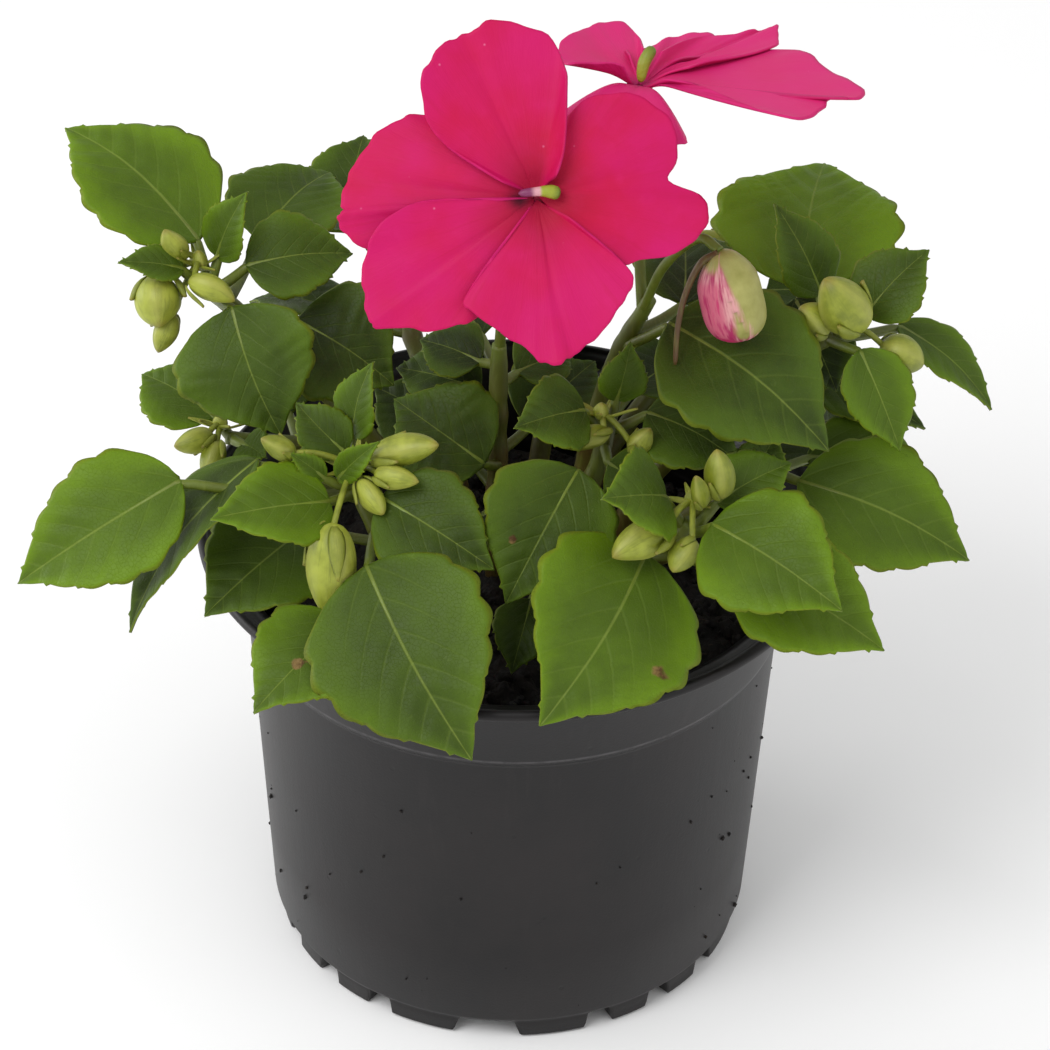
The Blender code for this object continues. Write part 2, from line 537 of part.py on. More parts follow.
# Every leafy stem: its route from the compost to its tip, its thickness, its leaves and its flower stalks
STEMS = {
    "shoot_main": {
        "route": [(-3, 0, STEM_FOOT), (-3, 1, 80), (-3, 2, 98), (-3, 3, 112)],
        "radius": 2.3,
        "leaves": [
            leaf("D1", (-3, 2, 99), (-6, 6, 101), (-20, 12, 101), 13, (35, 0), teeth=3),
            leaf("D2", (-3, 0.5, 90), (-5, -5, 94), (-20, 3, 101), 20, (45, 0), teeth=3),
            leaf("D3", (-3, 3, 108), (-6, 4, 108), (-16, 10, 108), 11, (30, 0), teeth=2),
            leaf("D5", (-3, 3, 104), (0, 7, 104), (9, 14, 103), 11, (30, 0), teeth=2),
            leaf("D6", (-3, 3, 106), (-6, 12, 108), (-14, 30, 108), 16, (15, 0), teeth=3),
            leaf("G2", (-3, 0, 82), (-5, -8, 86), (-13, -20, 86), 13, (30, 0), teeth=2),
            leaf("D7", (-3, 1, 92), (2, 7, 93), (13, 21, 97), 17, (35, 0), teeth=3),
            leaf("D8", (-3, 1, 84), (-8, 8, 87), (-24, 21, 91), 19, (30, 0), teeth=3),
        ],
        "extras": [("stalk_front", [(-3, 3, 110), (-2, 2, 124), (1, -2, 140), (1.0, -10, 147), (1, -16.5, 152.8),
                                    (1.6, -18.6, 154.4)], 0.9)],
    },
    "shoot_left_upper": {
        "route": [(-10, 4, STEM_FOOT), (-15, 5, 78), (-36, 7, 105), (-51, 10, 118)],
        "radius": 2.0,
        "leaves": [
            leaf("A1", (-50, 10, 117), (-52, 14, 124), (-75, 34, 133), 24, (12, 0)),
            leaf("A2", (-50, 10, 117), (-49, 12, 122), (-44, 11, 135), 9, (60, -30), teeth=2),
            leaf("A3", (-50, 9, 117), (-54, 6, 122), (-64, 3, 125), 9, (30, 0), teeth=2),
            leaf("A4", (-49, 10, 117), (-44, 9, 122.5), (-27, 14, 122), 15, (35, 0), teeth=3),
            leaf("A5", (-49, 9, 116), (-46, 2, 119), (-38, -8, 101), 24, (55, -20)),
            leaf("A6", (-47, 10, 115), (-43, 24, 118), (-32, 44, 119), 21, (15, -10)),
            leaf("A8", (-40, 8, 109), (-36, 9, 112), (-20, 4, 103), 22, (50, 20)),
        ],
        "extras": [],
    },
    "shoot_left_low": {
        "route": [(-12, 10, STEM_FOOT), (-18, 11, 78), (-34, 10, 86), (-48, 8, 89)],
        "radius": 1.6,
        "leaves": [
            leaf("B1", (-47, 8, 88.8), (-50, 11, 91), (-63, 22, 92), 16, (20, 0), teeth=3),
            leaf("B2", (-47, 8, 88.8), (-45, 5, 90), (-41, 0, 91), 8, (40, 0), teeth=2),
            leaf("B3", (-36, 10, 86.5), (-38, 17, 88), (-46, 36, 86), 17, (10, 0), teeth=3),
        ],
        "extras": [],
    },
    "shoot_left_front": {
        "route": [(-8, -6, STEM_FOOT), (-13, -12, 76), (-21, -22, 92), (-25, -21, 101)],
        "radius": 2.1,
        "leaves": [
            leaf("C1", (-25, -21, 99), (-52, -22, 101), (-79, -30, 87), 24, (40, -10)),
            leaf("C2", (-24, -21, 98), (-38, -16, 101), (-61, -32, 81), 15, (10, -60), teeth=3),
            leaf("C3", (-25, -21, 100), (-29, -27, 102), (-47, -36, 105), 15, (30, 10), teeth=3),
            leaf("C4", (-25, -21, 100), (-26, -15, 106), (-23, -13, 119), 9, (60, -40), teeth=2),
            leaf("C5", (-25, -21, 100), (-27, -18, 105), (-35, -13, 111), 9, (50, 0), teeth=2),
            leaf("C8", (-24, -22, 99), (-21, -27, 103), (-3, -36, 96), 18, (45, 10), teeth=3),
            leaf("C10", (-22, -22, 93), (-23, -37, 97), (-6, -60, 77), 30, (60, 0)),
            leaf("C11", (-19, -20, 88), (-26, -40, 88), (-40, -54, 81), 19, (30, -20), teeth=3),
            leaf("C12", (-19, -18, 87), (-32, -15, 88), (-50, -32, 81), 22, (35, -15), teeth=3),
        ],
        "extras": [],
    },
    "shoot_centre": {
        "route": [(5, -5, STEM_FOOT), (8, -8, 80), (13, -10, 97), (15, -8, 106)],
        "radius": 1.9,
        "leaves": [
            leaf("E1", (14, -9, 103), (11, -12, 110), (0, -20, 112), 13, (45, 0), teeth=3),
            leaf("E2", (15, -8, 104), (16, -8, 109), (18, -6, 119), 8, (70, 10), teeth=2),
            leaf("E5a", (14, -9, 102), (15, -14, 101), (20, -14, 97), 9, (60, 20), teeth=2),
            leaf("E7", (15, -8, 103), (21, -8, 107), (36, -13, 101), 16, (30, 0), teeth=3),
            leaf("G1", (12, -10, 94), (10, -22, 105.5), (-1, -37, 90), 22, (60, 0)),
            leaf("G3", (9, -9, 84), (3, -28, 84), (0, -37, 76), 10, (40, 0), teeth=2),
        ],
        "extras": [],
    },
    "shoot_right_mid": {
        "route": [(9, 5, STEM_FOOT), (11, 5, 84), (15, 4, 106), (21, 2, 122)],
        "radius": 1.9,
        "leaves": [
            leaf("H1", (17, 3, 112), (24, -3, 121), (50, -16, 106), 27, (40, 20), arch=0.1),
            leaf("H2", (19, 3, 115), (27, 10, 116), (27, 30, 118), 17, (15, 0), teeth=3),
            leaf("H3", (12, 5, 92), (19, 14, 96), (30, 27, 94), 18, (15, 0), teeth=3),
        ],
        "extras": [
            ("stalk_rear", [(20, 2, 118), (19, 7, 132), (18.6, 11, 145), (19, 13, 154), (19.5, 14.6, 160.5)], 0.9),
            ("stalk_opening", [(20, 2, 120), (23, -2, 131), (29, -6, 138.5), (32.3, -8, 138.5)], 0.8),
        ],
    },
    "shoot_right_front": {
        "route": [(12, -8, STEM_FOOT), (17, -13, 77), (25, -22, 90), (28, -24, 97)],
        "radius": 1.9,
        "leaves": [
            leaf("F1", (27, -23, 95), (24, -26, 103.5), (14, -37, 111), 16, (40, 0), teeth=3),
            leaf("F2", (25, -22, 89), (21, -29, 94.5), (5, -56, 81), 30, (60, 10)),
            leaf("F3", (29, -24, 95), (31, -31, 102), (51, -46, 97), 22, (45, 10)),
            leaf("F4", (28, -24, 95), (32, -24, 101), (44, -17, 104), 11, (40, 0), teeth=3),
            leaf("F11", (24, -21, 89), (35, -30, 93), (59, -38, 83), 20, (45, 20), teeth=3),
        ],
        "extras": [],
    },
    "shoot_right_low": {
        "route": [(15, -1, STEM_FOOT), (21, -3, 76), (34, -4, 88), (44, -3, 94)],
        "radius": 1.7,
        "leaves": [
            leaf("F9", (42, -3, 92.5), (46, -8, 94), (74, -15, 84), 23, (35, 10)),
            leaf("F10", (41, -3, 92), (48, 3, 91), (69, 5, 85), 17, (25, 20), teeth=3),
            leaf("F12", (40, -3.5, 91.5), (38, -9, 95), (42, -9, 104), 9, (60, 0), teeth=2),
            leaf("F13", (34, -4, 88), (40, 8, 88), (58, 26, 83), 19, (15, 20), teeth=3),
        ],
        "extras": [],
    },
    "shoot_right_upper": {
        "route": [(14, 7, STEM_FOOT), (21, 8, 80), (40, 7, 103), (51, 5, 114)],
        "radius": 1.9,
        "leaves": [
            leaf("I1", (46, 6, 109), (46, 15, 116), (51, 45, 120), 30, (20, -10)),
            leaf("I2", (50, 5, 113), (49, 9, 119), (41, 12, 134), 11, (50, 20), teeth=3),
            leaf("I3", (51, 5, 113), (56, 6, 117), (66, 12, 126), 13, (40, -20), teeth=3),
            leaf("I4", (50, 5, 113), (55, -1, 115), (62, -9, 101), 12, (60, 20), teeth=3),
            leaf("I5", (50, 5, 113), (62, 11, 112), (78, 5, 100), 13, (40, 60), teeth=3),
            leaf("I10", (45, 6, 108), (45, 12, 116), (52, 3, 104), 15, (50, 0), teeth=3),
            leaf("I11", (36, 7, 99), (48, 16, 98), (68, 12, 91), 12, (20, 0), teeth=3),
        ],
        "extras": [],
    },
    "shoot_back_left": {
        "route": [(-7, 14, STEM_FOOT), (-11, 20, 78), (-18, 32, 94), (-22, 40, 104)],
        "radius": 2.0,
        "leaves": [
            leaf("N1", (-22, 40, 103), (-26, 45, 106), (-40, 57, 100), 19, (30, 200), teeth=3),
            leaf("N2", (-22, 40, 103), (-19, 46, 106), (-14, 60, 96), 18, (40, 180), teeth=3),
            leaf("N3", (-22, 39, 102), (-29, 43, 111), (-27, 57, 118), 16, (20, 0), teeth=3),
            leaf("N4", (-18, 32, 94), (-28, 34, 96), (-46, 42, 94), 19, (20, 200), teeth=3),
            leaf("N5", (-19, 34, 96), (-12, 34, 100), (0, 40, 106), 13, (20, 150), teeth=3),
        ],
        "extras": [],
    },
    "shoot_back_mid": {
        "route": [(2, 15, STEM_FOOT), (4, 20, 78), (7, 28, 94), (9, 33, 104)],
        "radius": 2.0,
        "leaves": [
            leaf("P1", (9, 33, 103), (6, 38, 106), (-4, 55, 101), 18, (35, 180), teeth=3),
            leaf("P2", (9, 33, 103), (13, 38, 106), (19, 56, 98), 19, (35, 170), teeth=3),
            leaf("P3", (9, 33, 102), (11, 32, 108), (15, 35, 120), 11, (60, 180), teeth=2),
            leaf("P4", (6, 26, 90), (6, 38, 91), (2, 59, 84), 21, (30, 180), teeth=3),
        ],
        "extras": [],
    },
    "shoot_back_right": {
        "route": [(9, 13, STEM_FOOT), (14, 19, 76), (28, 32, 92), (35, 39, 101)],
        "radius": 1.9,
        "leaves": [
            leaf("Q1", (35, 39, 100), (38, 44, 104), (50, 57, 98), 19, (30, 140), teeth=3),
            leaf("Q2", (35, 39, 100), (33, 44, 103), (30, 59, 95), 16, (30, 180), teeth=3),
            leaf("Q3", (34, 38, 99), (42, 37, 101), (58, 38, 98), 17, (30, 90), teeth=3),
            leaf("Q4", (28, 32, 92), (38, 29, 91), (57, 31, 86), 15, (25, 90), teeth=3),
        ],
        "extras": [],
    },
}

# Bud bunches: the core's middle and radius, then each bud's base, tip and width
BUDS = {
    "buds_left_upper": (((-51.8, 10.4, 122.0), 1.4), [
        ((-58, 8, 120.5), (-57.5, 1, 115.5), 7.4),
        ((-55.5, 5, 115.5), (-58, 1, 110.5), 3.8),
        ((-53, 4, 122.5), (-45.5, 2, 120), 4.0),
        ((-54, 10, 123.5), (-57, 9, 129), 4.0),
    ]),
    "buds_left_low": (((-48.8, 8.2, 91.6), 1.2), [
        ((-50, 5, 92), (-56, 1, 92), 4.0),
        ((-49, 4, 91), (-51, -2, 88), 4.0),
    ]),
    "buds_left_front": (((-25.5, -21.0, 104.2), 1.6), [
        ((-22.5, -23, 107.5), (-12, -26, 112.5), 5.0),
        ((-22, -26, 106.5), (-15, -29, 107.5), 3.8),
        ((-24.5, -26, 105.5), (-20.5, -31, 102.5), 3.6),
        ((-28.5, -33, 102), (-29, -38, 87), 7.6),
        ((-35, -22, 107), (-40, -23, 111), 3.6),
    ]),
    "buds_centre": (((13.6, -10.8, 108.6), 1.2), [
        ((15, -13, 106.5), (7.5, -18, 107), 3.6),
        ((18.5, -14, 103.5), (21.5, -14, 108), 3.6),
    ]),
    "buds_right_front": (((28.2, -22.9, 100.6), 1.3), [
        ((32.5, -26, 103.5), (31.5, -25, 112), 4.8),
        ((29.5, -28, 103), (28.2, -29.5, 110), 2.8),
        ((24.5, -30, 99.5), (15.5, -36.5, 99), 5.8),
        ((28.5, -31, 98.5), (25, -36, 96), 4.4),
    ]),
    "buds_right_upper": (((51.8, 4.4, 116.9), 1.5), [
        ((54.5, 1, 118), (48.5, -1, 128.5), 8.0),
        ((49, 1, 117), (45, -1, 123), 5.2),
        ((58.5, 2.5, 113.5), (65.5, 2, 110), 6.4),
    ]),
    "buds_back_left": (((-22.3, 40.6, 107.0), 1.4), [
        ((-22, 42, 110), (-20, 45, 115), 4.6),
        ((-20, 41, 108.5), (-16, 41, 112), 4.0),
    ]),
    "buds_back_mid": (((9.0, 34.0, 107.3), 1.4), [
        ((7, 37, 110), (3, 40, 112), 4.6),
        ((10, 39, 104), (9, 45, 98), 4.6),
    ]),
    "buds_back_right": (((35.2, 39.4, 103.2), 1.4), [
        ((35, 41, 108), (36, 44, 113), 4.6),
        ((33.5, 39.5, 107), (30, 39, 111), 4.0),
    ]),
}

# Flowers: the middle, the way it faces, then each petal's axis, length, half angle, notch, slant, lift and cup
FRONT_MIDDLE = (1.0, -15.5, 152.0)
FRONT_NORMAL = (0.05, -0.82, 0.57)
FRONT_PETALS = [
    (9.0, 30.0, 48.0, 0.09, -0.10, -2.0, 2.0),
    (101.0, 28.0, 40.0, 0.04, 0.05, 1.0, 1.5),
    (172.0, 29.5, 33.0, 0.03, 0.0, -2.8, 1.5),
    (224.0, 30.5, 31.0, 0.03, -0.05, -0.3, -1.5),
    (281.0, 28.5, 43.0, 0.03, -0.03, 2.6, -2.0),
]
REAR_MIDDLE = (19.2, 14.0, 157.0)
REAR_NORMAL = (0.08, 0.22, 0.96)
REAR_PETALS = [
    (150.0, 15.0, 36.0, 0.04, 0.0, 1.5, 1.5),
    (75.0, 17.0, 36.0, 0.05, 0.0, 0.8, 1.0),
    (12.0, 26.0, 31.0, 0.04, 0.0, 1.6, 1.0),
    (330.0, 33.0, 28.0, 0.05, 0.0, -2.5, -1.5),
    (245.0, 18.0, 42.0, 0.05, 0.0, -3.0, -1.5),
]
OPENING_BUD = ((33.6, -8.2, 138.4), (34.6, -11.8, 123.6), 11.0)


def stem_hole(route, radius):
    """Where a stem enters the compost, and the radius of a hole that clears its lean."""
    foot, above = np.array(route[0], float), np.array(route[1], float)
    top = SOIL_RIM_HEIGHT + SOIL_CROWN
    lean = (above - foot) / (above[2] - foot[2])
    middle = foot + lean * 0.5 * (top - STEM_FOOT)
    drift = 0.5 * (top - STEM_FOOT) * np.hypot(lean[0], lean[1])
    return (middle[0], middle[1]), radius + drift + HOLE_ROOM


def main():
    clear_scene()
    plant = new_collection("busy_lizzie")
    workshop = new_collection("workshop")
    pot_grey = make_material("pot_grey", POT_GREY, 0.5)
    compost = make_material("compost", COMPOST, 0.95)
    green = make_material("leaf_green", GREEN, 0.5)
    bud_green = make_material("bud_green", BUD_GREEN, 0.5)
    cerise = make_material("petal_cerise", CERISE, 0.55)
    pink = make_material("petal_pink", PINK, 0.55)

    make_pot(pot_grey, plant, workshop)
    holes = [stem_hole(stem["route"], stem["radius"]) for stem in STEMS.values()]
    make_soil(holes, compost, plant, workshop)
    for name, stem in STEMS.items():
        leafy_stem(name, stem["route"], stem["radius"], stem["leaves"], stem["extras"], green, plant, workshop)
    for name, (core, buds) in BUDS.items():
        bud_bunch(name, core, buds, bud_green, plant, workshop)
    petal_ring("petals_front", FRONT_MIDDLE, FRONT_NORMAL, FRONT_PETALS, cerise, plant, workshop)
    petal_ring("petals_rear", REAR_MIDDLE, REAR_NORMAL, REAR_PETALS, cerise, plant, workshop)
    base, tip, width = OPENING_BUD
    fuse("petals_opening", [bud_body("petals_opening", base, tip, width, workshop, sides=9)], pink, plant)


main()
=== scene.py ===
# %% [markdown]
# # A busy lizzie in its nursery pot
# A balcony plant in a thin dark pot: a dozen soft stems that lean outwards, toothed leaves, bunches of
# pale buds and two open cerise flowers. The imported CAD model gives the size and the place of every piece,
# so loading it comes first.

# %% Load the imported model
import math

import bpy
import numpy as np
from mathutils import Matrix


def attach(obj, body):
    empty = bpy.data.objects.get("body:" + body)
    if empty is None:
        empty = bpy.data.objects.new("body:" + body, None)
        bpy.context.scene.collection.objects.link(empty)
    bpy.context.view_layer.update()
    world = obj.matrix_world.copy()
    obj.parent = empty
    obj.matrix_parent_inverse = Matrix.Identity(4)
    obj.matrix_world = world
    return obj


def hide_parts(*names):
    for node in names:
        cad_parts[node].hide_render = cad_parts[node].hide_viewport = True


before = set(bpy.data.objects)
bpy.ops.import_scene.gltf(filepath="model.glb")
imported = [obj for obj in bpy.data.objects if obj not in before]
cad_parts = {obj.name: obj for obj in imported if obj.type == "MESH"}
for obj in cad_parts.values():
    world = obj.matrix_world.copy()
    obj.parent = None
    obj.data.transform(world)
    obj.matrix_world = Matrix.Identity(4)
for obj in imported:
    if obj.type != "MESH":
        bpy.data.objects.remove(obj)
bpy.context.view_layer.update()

# %% [markdown]
# ## Meshes from whole arrays
# Leaves, petals, stems and buds are all surfaces: a grid of points, a rule for which points make a face,
# and numbers that say what each point is, such as how near it lies to the leaf's margin. Blender can
# build these from its own primitives, but a formula gives every tooth and vein its own place, so each
# piece is computed with numpy in millimetres and handed over in one go. A patch is one such surface
# before it becomes a mesh.

# %% Patches and the mesh they become
MM = 0.001


class Patch:
    """Points in millimetres, faces as arrays of point numbers, a flat map, and named numbers per point."""

    def __init__(self, points, faces, flat=None, **numbers):
        self.points = np.asarray(points, float).reshape(-1, 3)
        self.faces = faces
        count = len(self.points)
        self.flat = np.zeros((count, 2)) if flat is None else np.asarray(flat, float).reshape(-1, 2)
        self.numbers = {name: np.broadcast_to(np.asarray(value, float), (count,)).astype(float)
                        for name, value in numbers.items()}


def joined(patches):
    """Patches stacked into one: each one's point numbers grow by the count of points before it."""
    starts = np.cumsum([0] + [len(patch.points) for patch in patches])
    faces = [block + start for patch, start in zip(patches, starts) for block in patch.faces]
    names = {name for patch in patches for name in patch.numbers}
    numbers = {name: np.concatenate([patch.numbers.get(name, np.zeros(len(patch.points)))
                                     for patch in patches]) for name in sorted(names)}
    made = Patch(np.concatenate([patch.points for patch in patches]), faces,
                 np.concatenate([patch.flat for patch in patches]))
    made.numbers = numbers
    return made


def placed(name, data):
    """A new object that holds this mesh, lamp or camera, linked into the scene."""
    made = bpy.data.objects.new(name, data)
    bpy.context.scene.collection.objects.link(made)
    return made


def put_mesh(name, patch, material, replaced):
    """Hand a patch to Blender as a smooth mesh that rides on the root body and stands for CAD nodes."""
    corners = np.concatenate([block.reshape(-1) for block in patch.faces]).astype(np.int32)
    sizes = np.concatenate([np.full(len(block), block.shape[1]) for block in patch.faces]).astype(np.int32)
    mesh = bpy.data.meshes.new(name)
    mesh.vertices.add(len(patch.points))
    mesh.vertices.foreach_set("co", (patch.points * MM).astype(np.float32).reshape(-1))
    mesh.loops.add(len(corners))
    mesh.loops.foreach_set("vertex_index", corners)
    mesh.polygons.add(len(sizes))
    mesh.polygons.foreach_set("loop_start", (np.cumsum(sizes) - sizes).astype(np.int32))
    mesh.update(calc_edges=True)
    mesh.polygons.foreach_set("use_smooth", np.ones(len(sizes), bool))
    flat = mesh.uv_layers.new(name="flat")
    flat.uv.foreach_set("vector", patch.flat[corners].astype(np.float32).reshape(-1))
    for label, values in patch.numbers.items():
        mesh.attributes.new(label, "FLOAT", "POINT").data.foreach_set("value", values.astype(np.float32))
    mesh.validate()
    piece = placed(name, mesh)
    mesh.materials.append(material)
    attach(piece, "root")
    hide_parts(*replaced)
    triangles = int((sizes - 2).sum())
    print(f"{name}: {len(patch.points)} points, {triangles} triangles")
    return piece


# %% [markdown]
# ## Directions and smooth routes
# Stems and stalks follow a few chosen places. A chain of cubic curves runs smoothly through them all, as a
# soft stem does, where straight runs would look like bent wire.

# %% Directions and routes
def unit(vector):
    """A direction of length one, along the last axis."""
    vector = np.asarray(vector, float)
    return vector / np.linalg.norm(vector, axis=-1, keepdims=True)


def face_direction(lean, turn):
    """The way a blade faces: it leans from straight up by lean, towards the compass side turn (0 is -Y)."""
    lean, turn = math.radians(lean), math.radians(turn)
    return np.array((math.sin(lean) * math.sin(turn), -math.sin(lean) * math.cos(turn), math.cos(lean)))


def smooth_route(places, count):
    """Points along a smooth curve through the places.

    Each span is a cubic. Its slope at a place is half the step from the place before to the place after.
    """
    places = np.asarray(places, float)
    padded = np.vstack((2 * places[0] - places[1], places, 2 * places[-1] - places[-2]))
    spans = len(places) - 1
    s = np.linspace(0.0, spans, count)
    index = np.minimum(s.astype(int), spans - 1)
    t = (s - index)[:, None]
    a, b, c, d = (padded[index + offset] for offset in range(4))
    return 0.5 * (2 * b + (c - a) * t + (2 * a - 5 * b + 4 * c - d) * t ** 2
                  + (3 * b - a - 3 * c + d) * t ** 3)


def ease(x, low, high):
    """Nought below low, one above high, and a smooth S between them."""
    t = np.clip((np.asarray(x, float) - low) / (high - low), 0.0, 1.0)
    return t * t * (3.0 - 2.0 * t)


# %% [markdown]
# ## Tubes and thin shells
# Two rules cover almost every piece. A stem, a stalk or a bud is a tube: rings of points carried along a
# path. A leaf or a petal is a thin shell: one grid for its upper face, one for its lower face, and a
# shared rim, so that it is closed and has a real thickness.

# %% Tubes
def grid_quads(rows, columns, closed):
    """Quads between neighbouring rows and columns; closed joins the last column to the first."""
    corner = np.arange(rows * columns).reshape(rows, columns)
    after = np.roll(corner, -1, axis=1)
    if not closed:
        corner, after = corner[:, :-1], after[:, :-1]
    return np.stack((corner[:-1], after[:-1], after[1:], corner[1:]), axis=-1).reshape(-1, 4)


def round_angles(sides):
    """Equal steps once round a ring, in radians."""
    return np.arange(sides) * 2.0 * np.pi / sides


def ring_faces(rings, sides, turned=False):
    """Quads from ring to ring, and a fan over each end from one of the two points that follow the rings.

    The rings run anticlockwise, seen from the last one. Where they run the other way, turned flips each face.
    """
    turn = np.arange(sides)
    beside = (turn + 1) % sides
    last = (rings - 1) * sides
    first_fan = np.stack((np.full(sides, rings * sides), beside, turn), axis=-1)
    last_fan = np.stack((np.full(sides, rings * sides + 1), turn + last, beside + last), axis=-1)
    blocks = (grid_quads(rings, sides, True), first_fan, last_fan)
    return [block[:, ::-1] if turned else block for block in blocks]


def tube(path, radii, sides, **numbers):
    """A closed tube: ring point = path + radius (cos a side + sin a lift), with a fan over each end.

    radii has one value for each path point, or one for each path point and each of the ring's sides.
    The numbers may have one value, one for each path point, or one for each ring point.
    """
    path = np.asarray(path, float)
    rows = len(path)
    radii = np.asarray(radii, float)
    radii = np.broadcast_to(radii[:, None] if radii.ndim == 1 else radii, (rows, sides))
    tangent = unit(np.gradient(path, axis=0))
    reference = np.eye(3)[np.argmin(np.abs(tangent.mean(axis=0)))]
    side = unit(np.cross(tangent, reference))
    lift = np.cross(tangent, side)
    angle = round_angles(sides)
    ring = (path[:, None, :] + (radii * np.cos(angle))[..., None] * side[:, None, :]
            + (radii * np.sin(angle))[..., None] * lift[:, None, :])
    points = np.concatenate((ring.reshape(-1, 3), path[:1], path[-1:]))
    around, along = np.meshgrid(np.arange(sides) / sides, np.linspace(0.0, 1.0, rows))
    flat = np.concatenate((np.stack((around, along), axis=-1).reshape(-1, 2), ((0.5, 0.0), (0.5, 1.0))))
    spread = {}
    for name, value in numbers.items():
        value = np.asarray(value, float)
        table = np.broadcast_to(value[:, None] if value.ndim == 1 else value, (rows, sides))
        spread[name] = np.concatenate((table.reshape(-1), (table[0, 0], table[-1, 0])))
    return Patch(points, ring_faces(rows, sides), flat, **spread)


# %% Thin shells
def shell(grid, thickness, flat, **numbers):
    """A closed thin sheet: upper = grid + n t / 2 and lower = grid - n t / 2, joined along a shared rim.

    n is the cross product of the steps along a row and along a column, so it points to the upper face.
    The number under is 1 on the lower face, so that a material can tell the two faces apart.
    """
    rows, columns = grid.shape[:2]
    normal = unit(np.cross(np.gradient(grid, axis=1), np.gradient(grid, axis=0)))
    upper, lower = grid + 0.5 * thickness * normal, grid - 0.5 * thickness * normal
    upper[:, (0, -1)] = grid[:, (0, -1)]
    loop = np.concatenate((upper, lower[:, -2:0:-1]), axis=1)
    around = loop.shape[1]
    order = np.concatenate((np.arange(columns), np.arange(columns - 2, 0, -1)))
    below = np.concatenate((np.zeros(columns), np.ones(columns - 2)))
    top, bottom = np.arange(columns), np.arange(around, around - columns, -1) % around
    shift = (rows - 1) * around
    middle = slice(1, columns - 2)
    start = np.stack((top[:-1], bottom[:-1], bottom[1:], top[1:]), axis=-1)
    end = np.stack((top[:-1], top[1:], bottom[1:], bottom[:-1]), axis=-1) + shift
    corners = [np.array([(top[0], bottom[1], top[1]), (top[-2], bottom[-2], top[-1])]),
               np.array([(top[0], top[1], bottom[1]), (top[-2], top[-1], bottom[-2])]) + shift]
    faces = [grid_quads(rows, around, True), start[middle], end[middle], *corners]
    spread = {name: np.broadcast_to(value, (rows, columns))[:, order].reshape(-1)
              for name, value in numbers.items()}
    return Patch(loop, faces, flat[:, order], under=np.tile(below, rows), **spread)


# %% [markdown]
# ## Finishes as small recipes
# A material is a net of nodes. Written out node by node it is hard to read, so a value in the net is
# wrapped in a small class: adding, subtracting or multiplying two of them adds the Math node for it.
# Everything else comes from one method, which takes the node's type, its settings and what goes into its
# sockets.

# %% The recipe classes
class Wire:
    """An output socket that takes part in sums. Each operator adds one Math node to the recipe."""

    def __init__(self, recipe, socket):
        self.recipe = recipe
        self.socket = socket

    def sum_node(self, operation, *values):
        """The Math node of this operation, with the values in its sockets in turn."""
        return self.recipe.node("ShaderNodeMath", {"operation": operation}, dict(enumerate(values)))

    def __add__(self, other):
        return self.sum_node("ADD", self, other)

    __radd__ = __add__

    def __sub__(self, other):
        return self.sum_node("SUBTRACT", self, other)

    def __rsub__(self, other):
        return self.sum_node("SUBTRACT", other, self)

    def __mul__(self, other):
        return self.sum_node("MULTIPLY", self, other)

    __rmul__ = __mul__

    def __abs__(self):
        return self.sum_node("ABSOLUTE", self)


# The numbers of a colour Mix node's sockets, because several of its sockets share one name
MIX_SHARE, MIX_FIRST, MIX_SECOND, MIX_RESULT = 0, 6, 7, 2


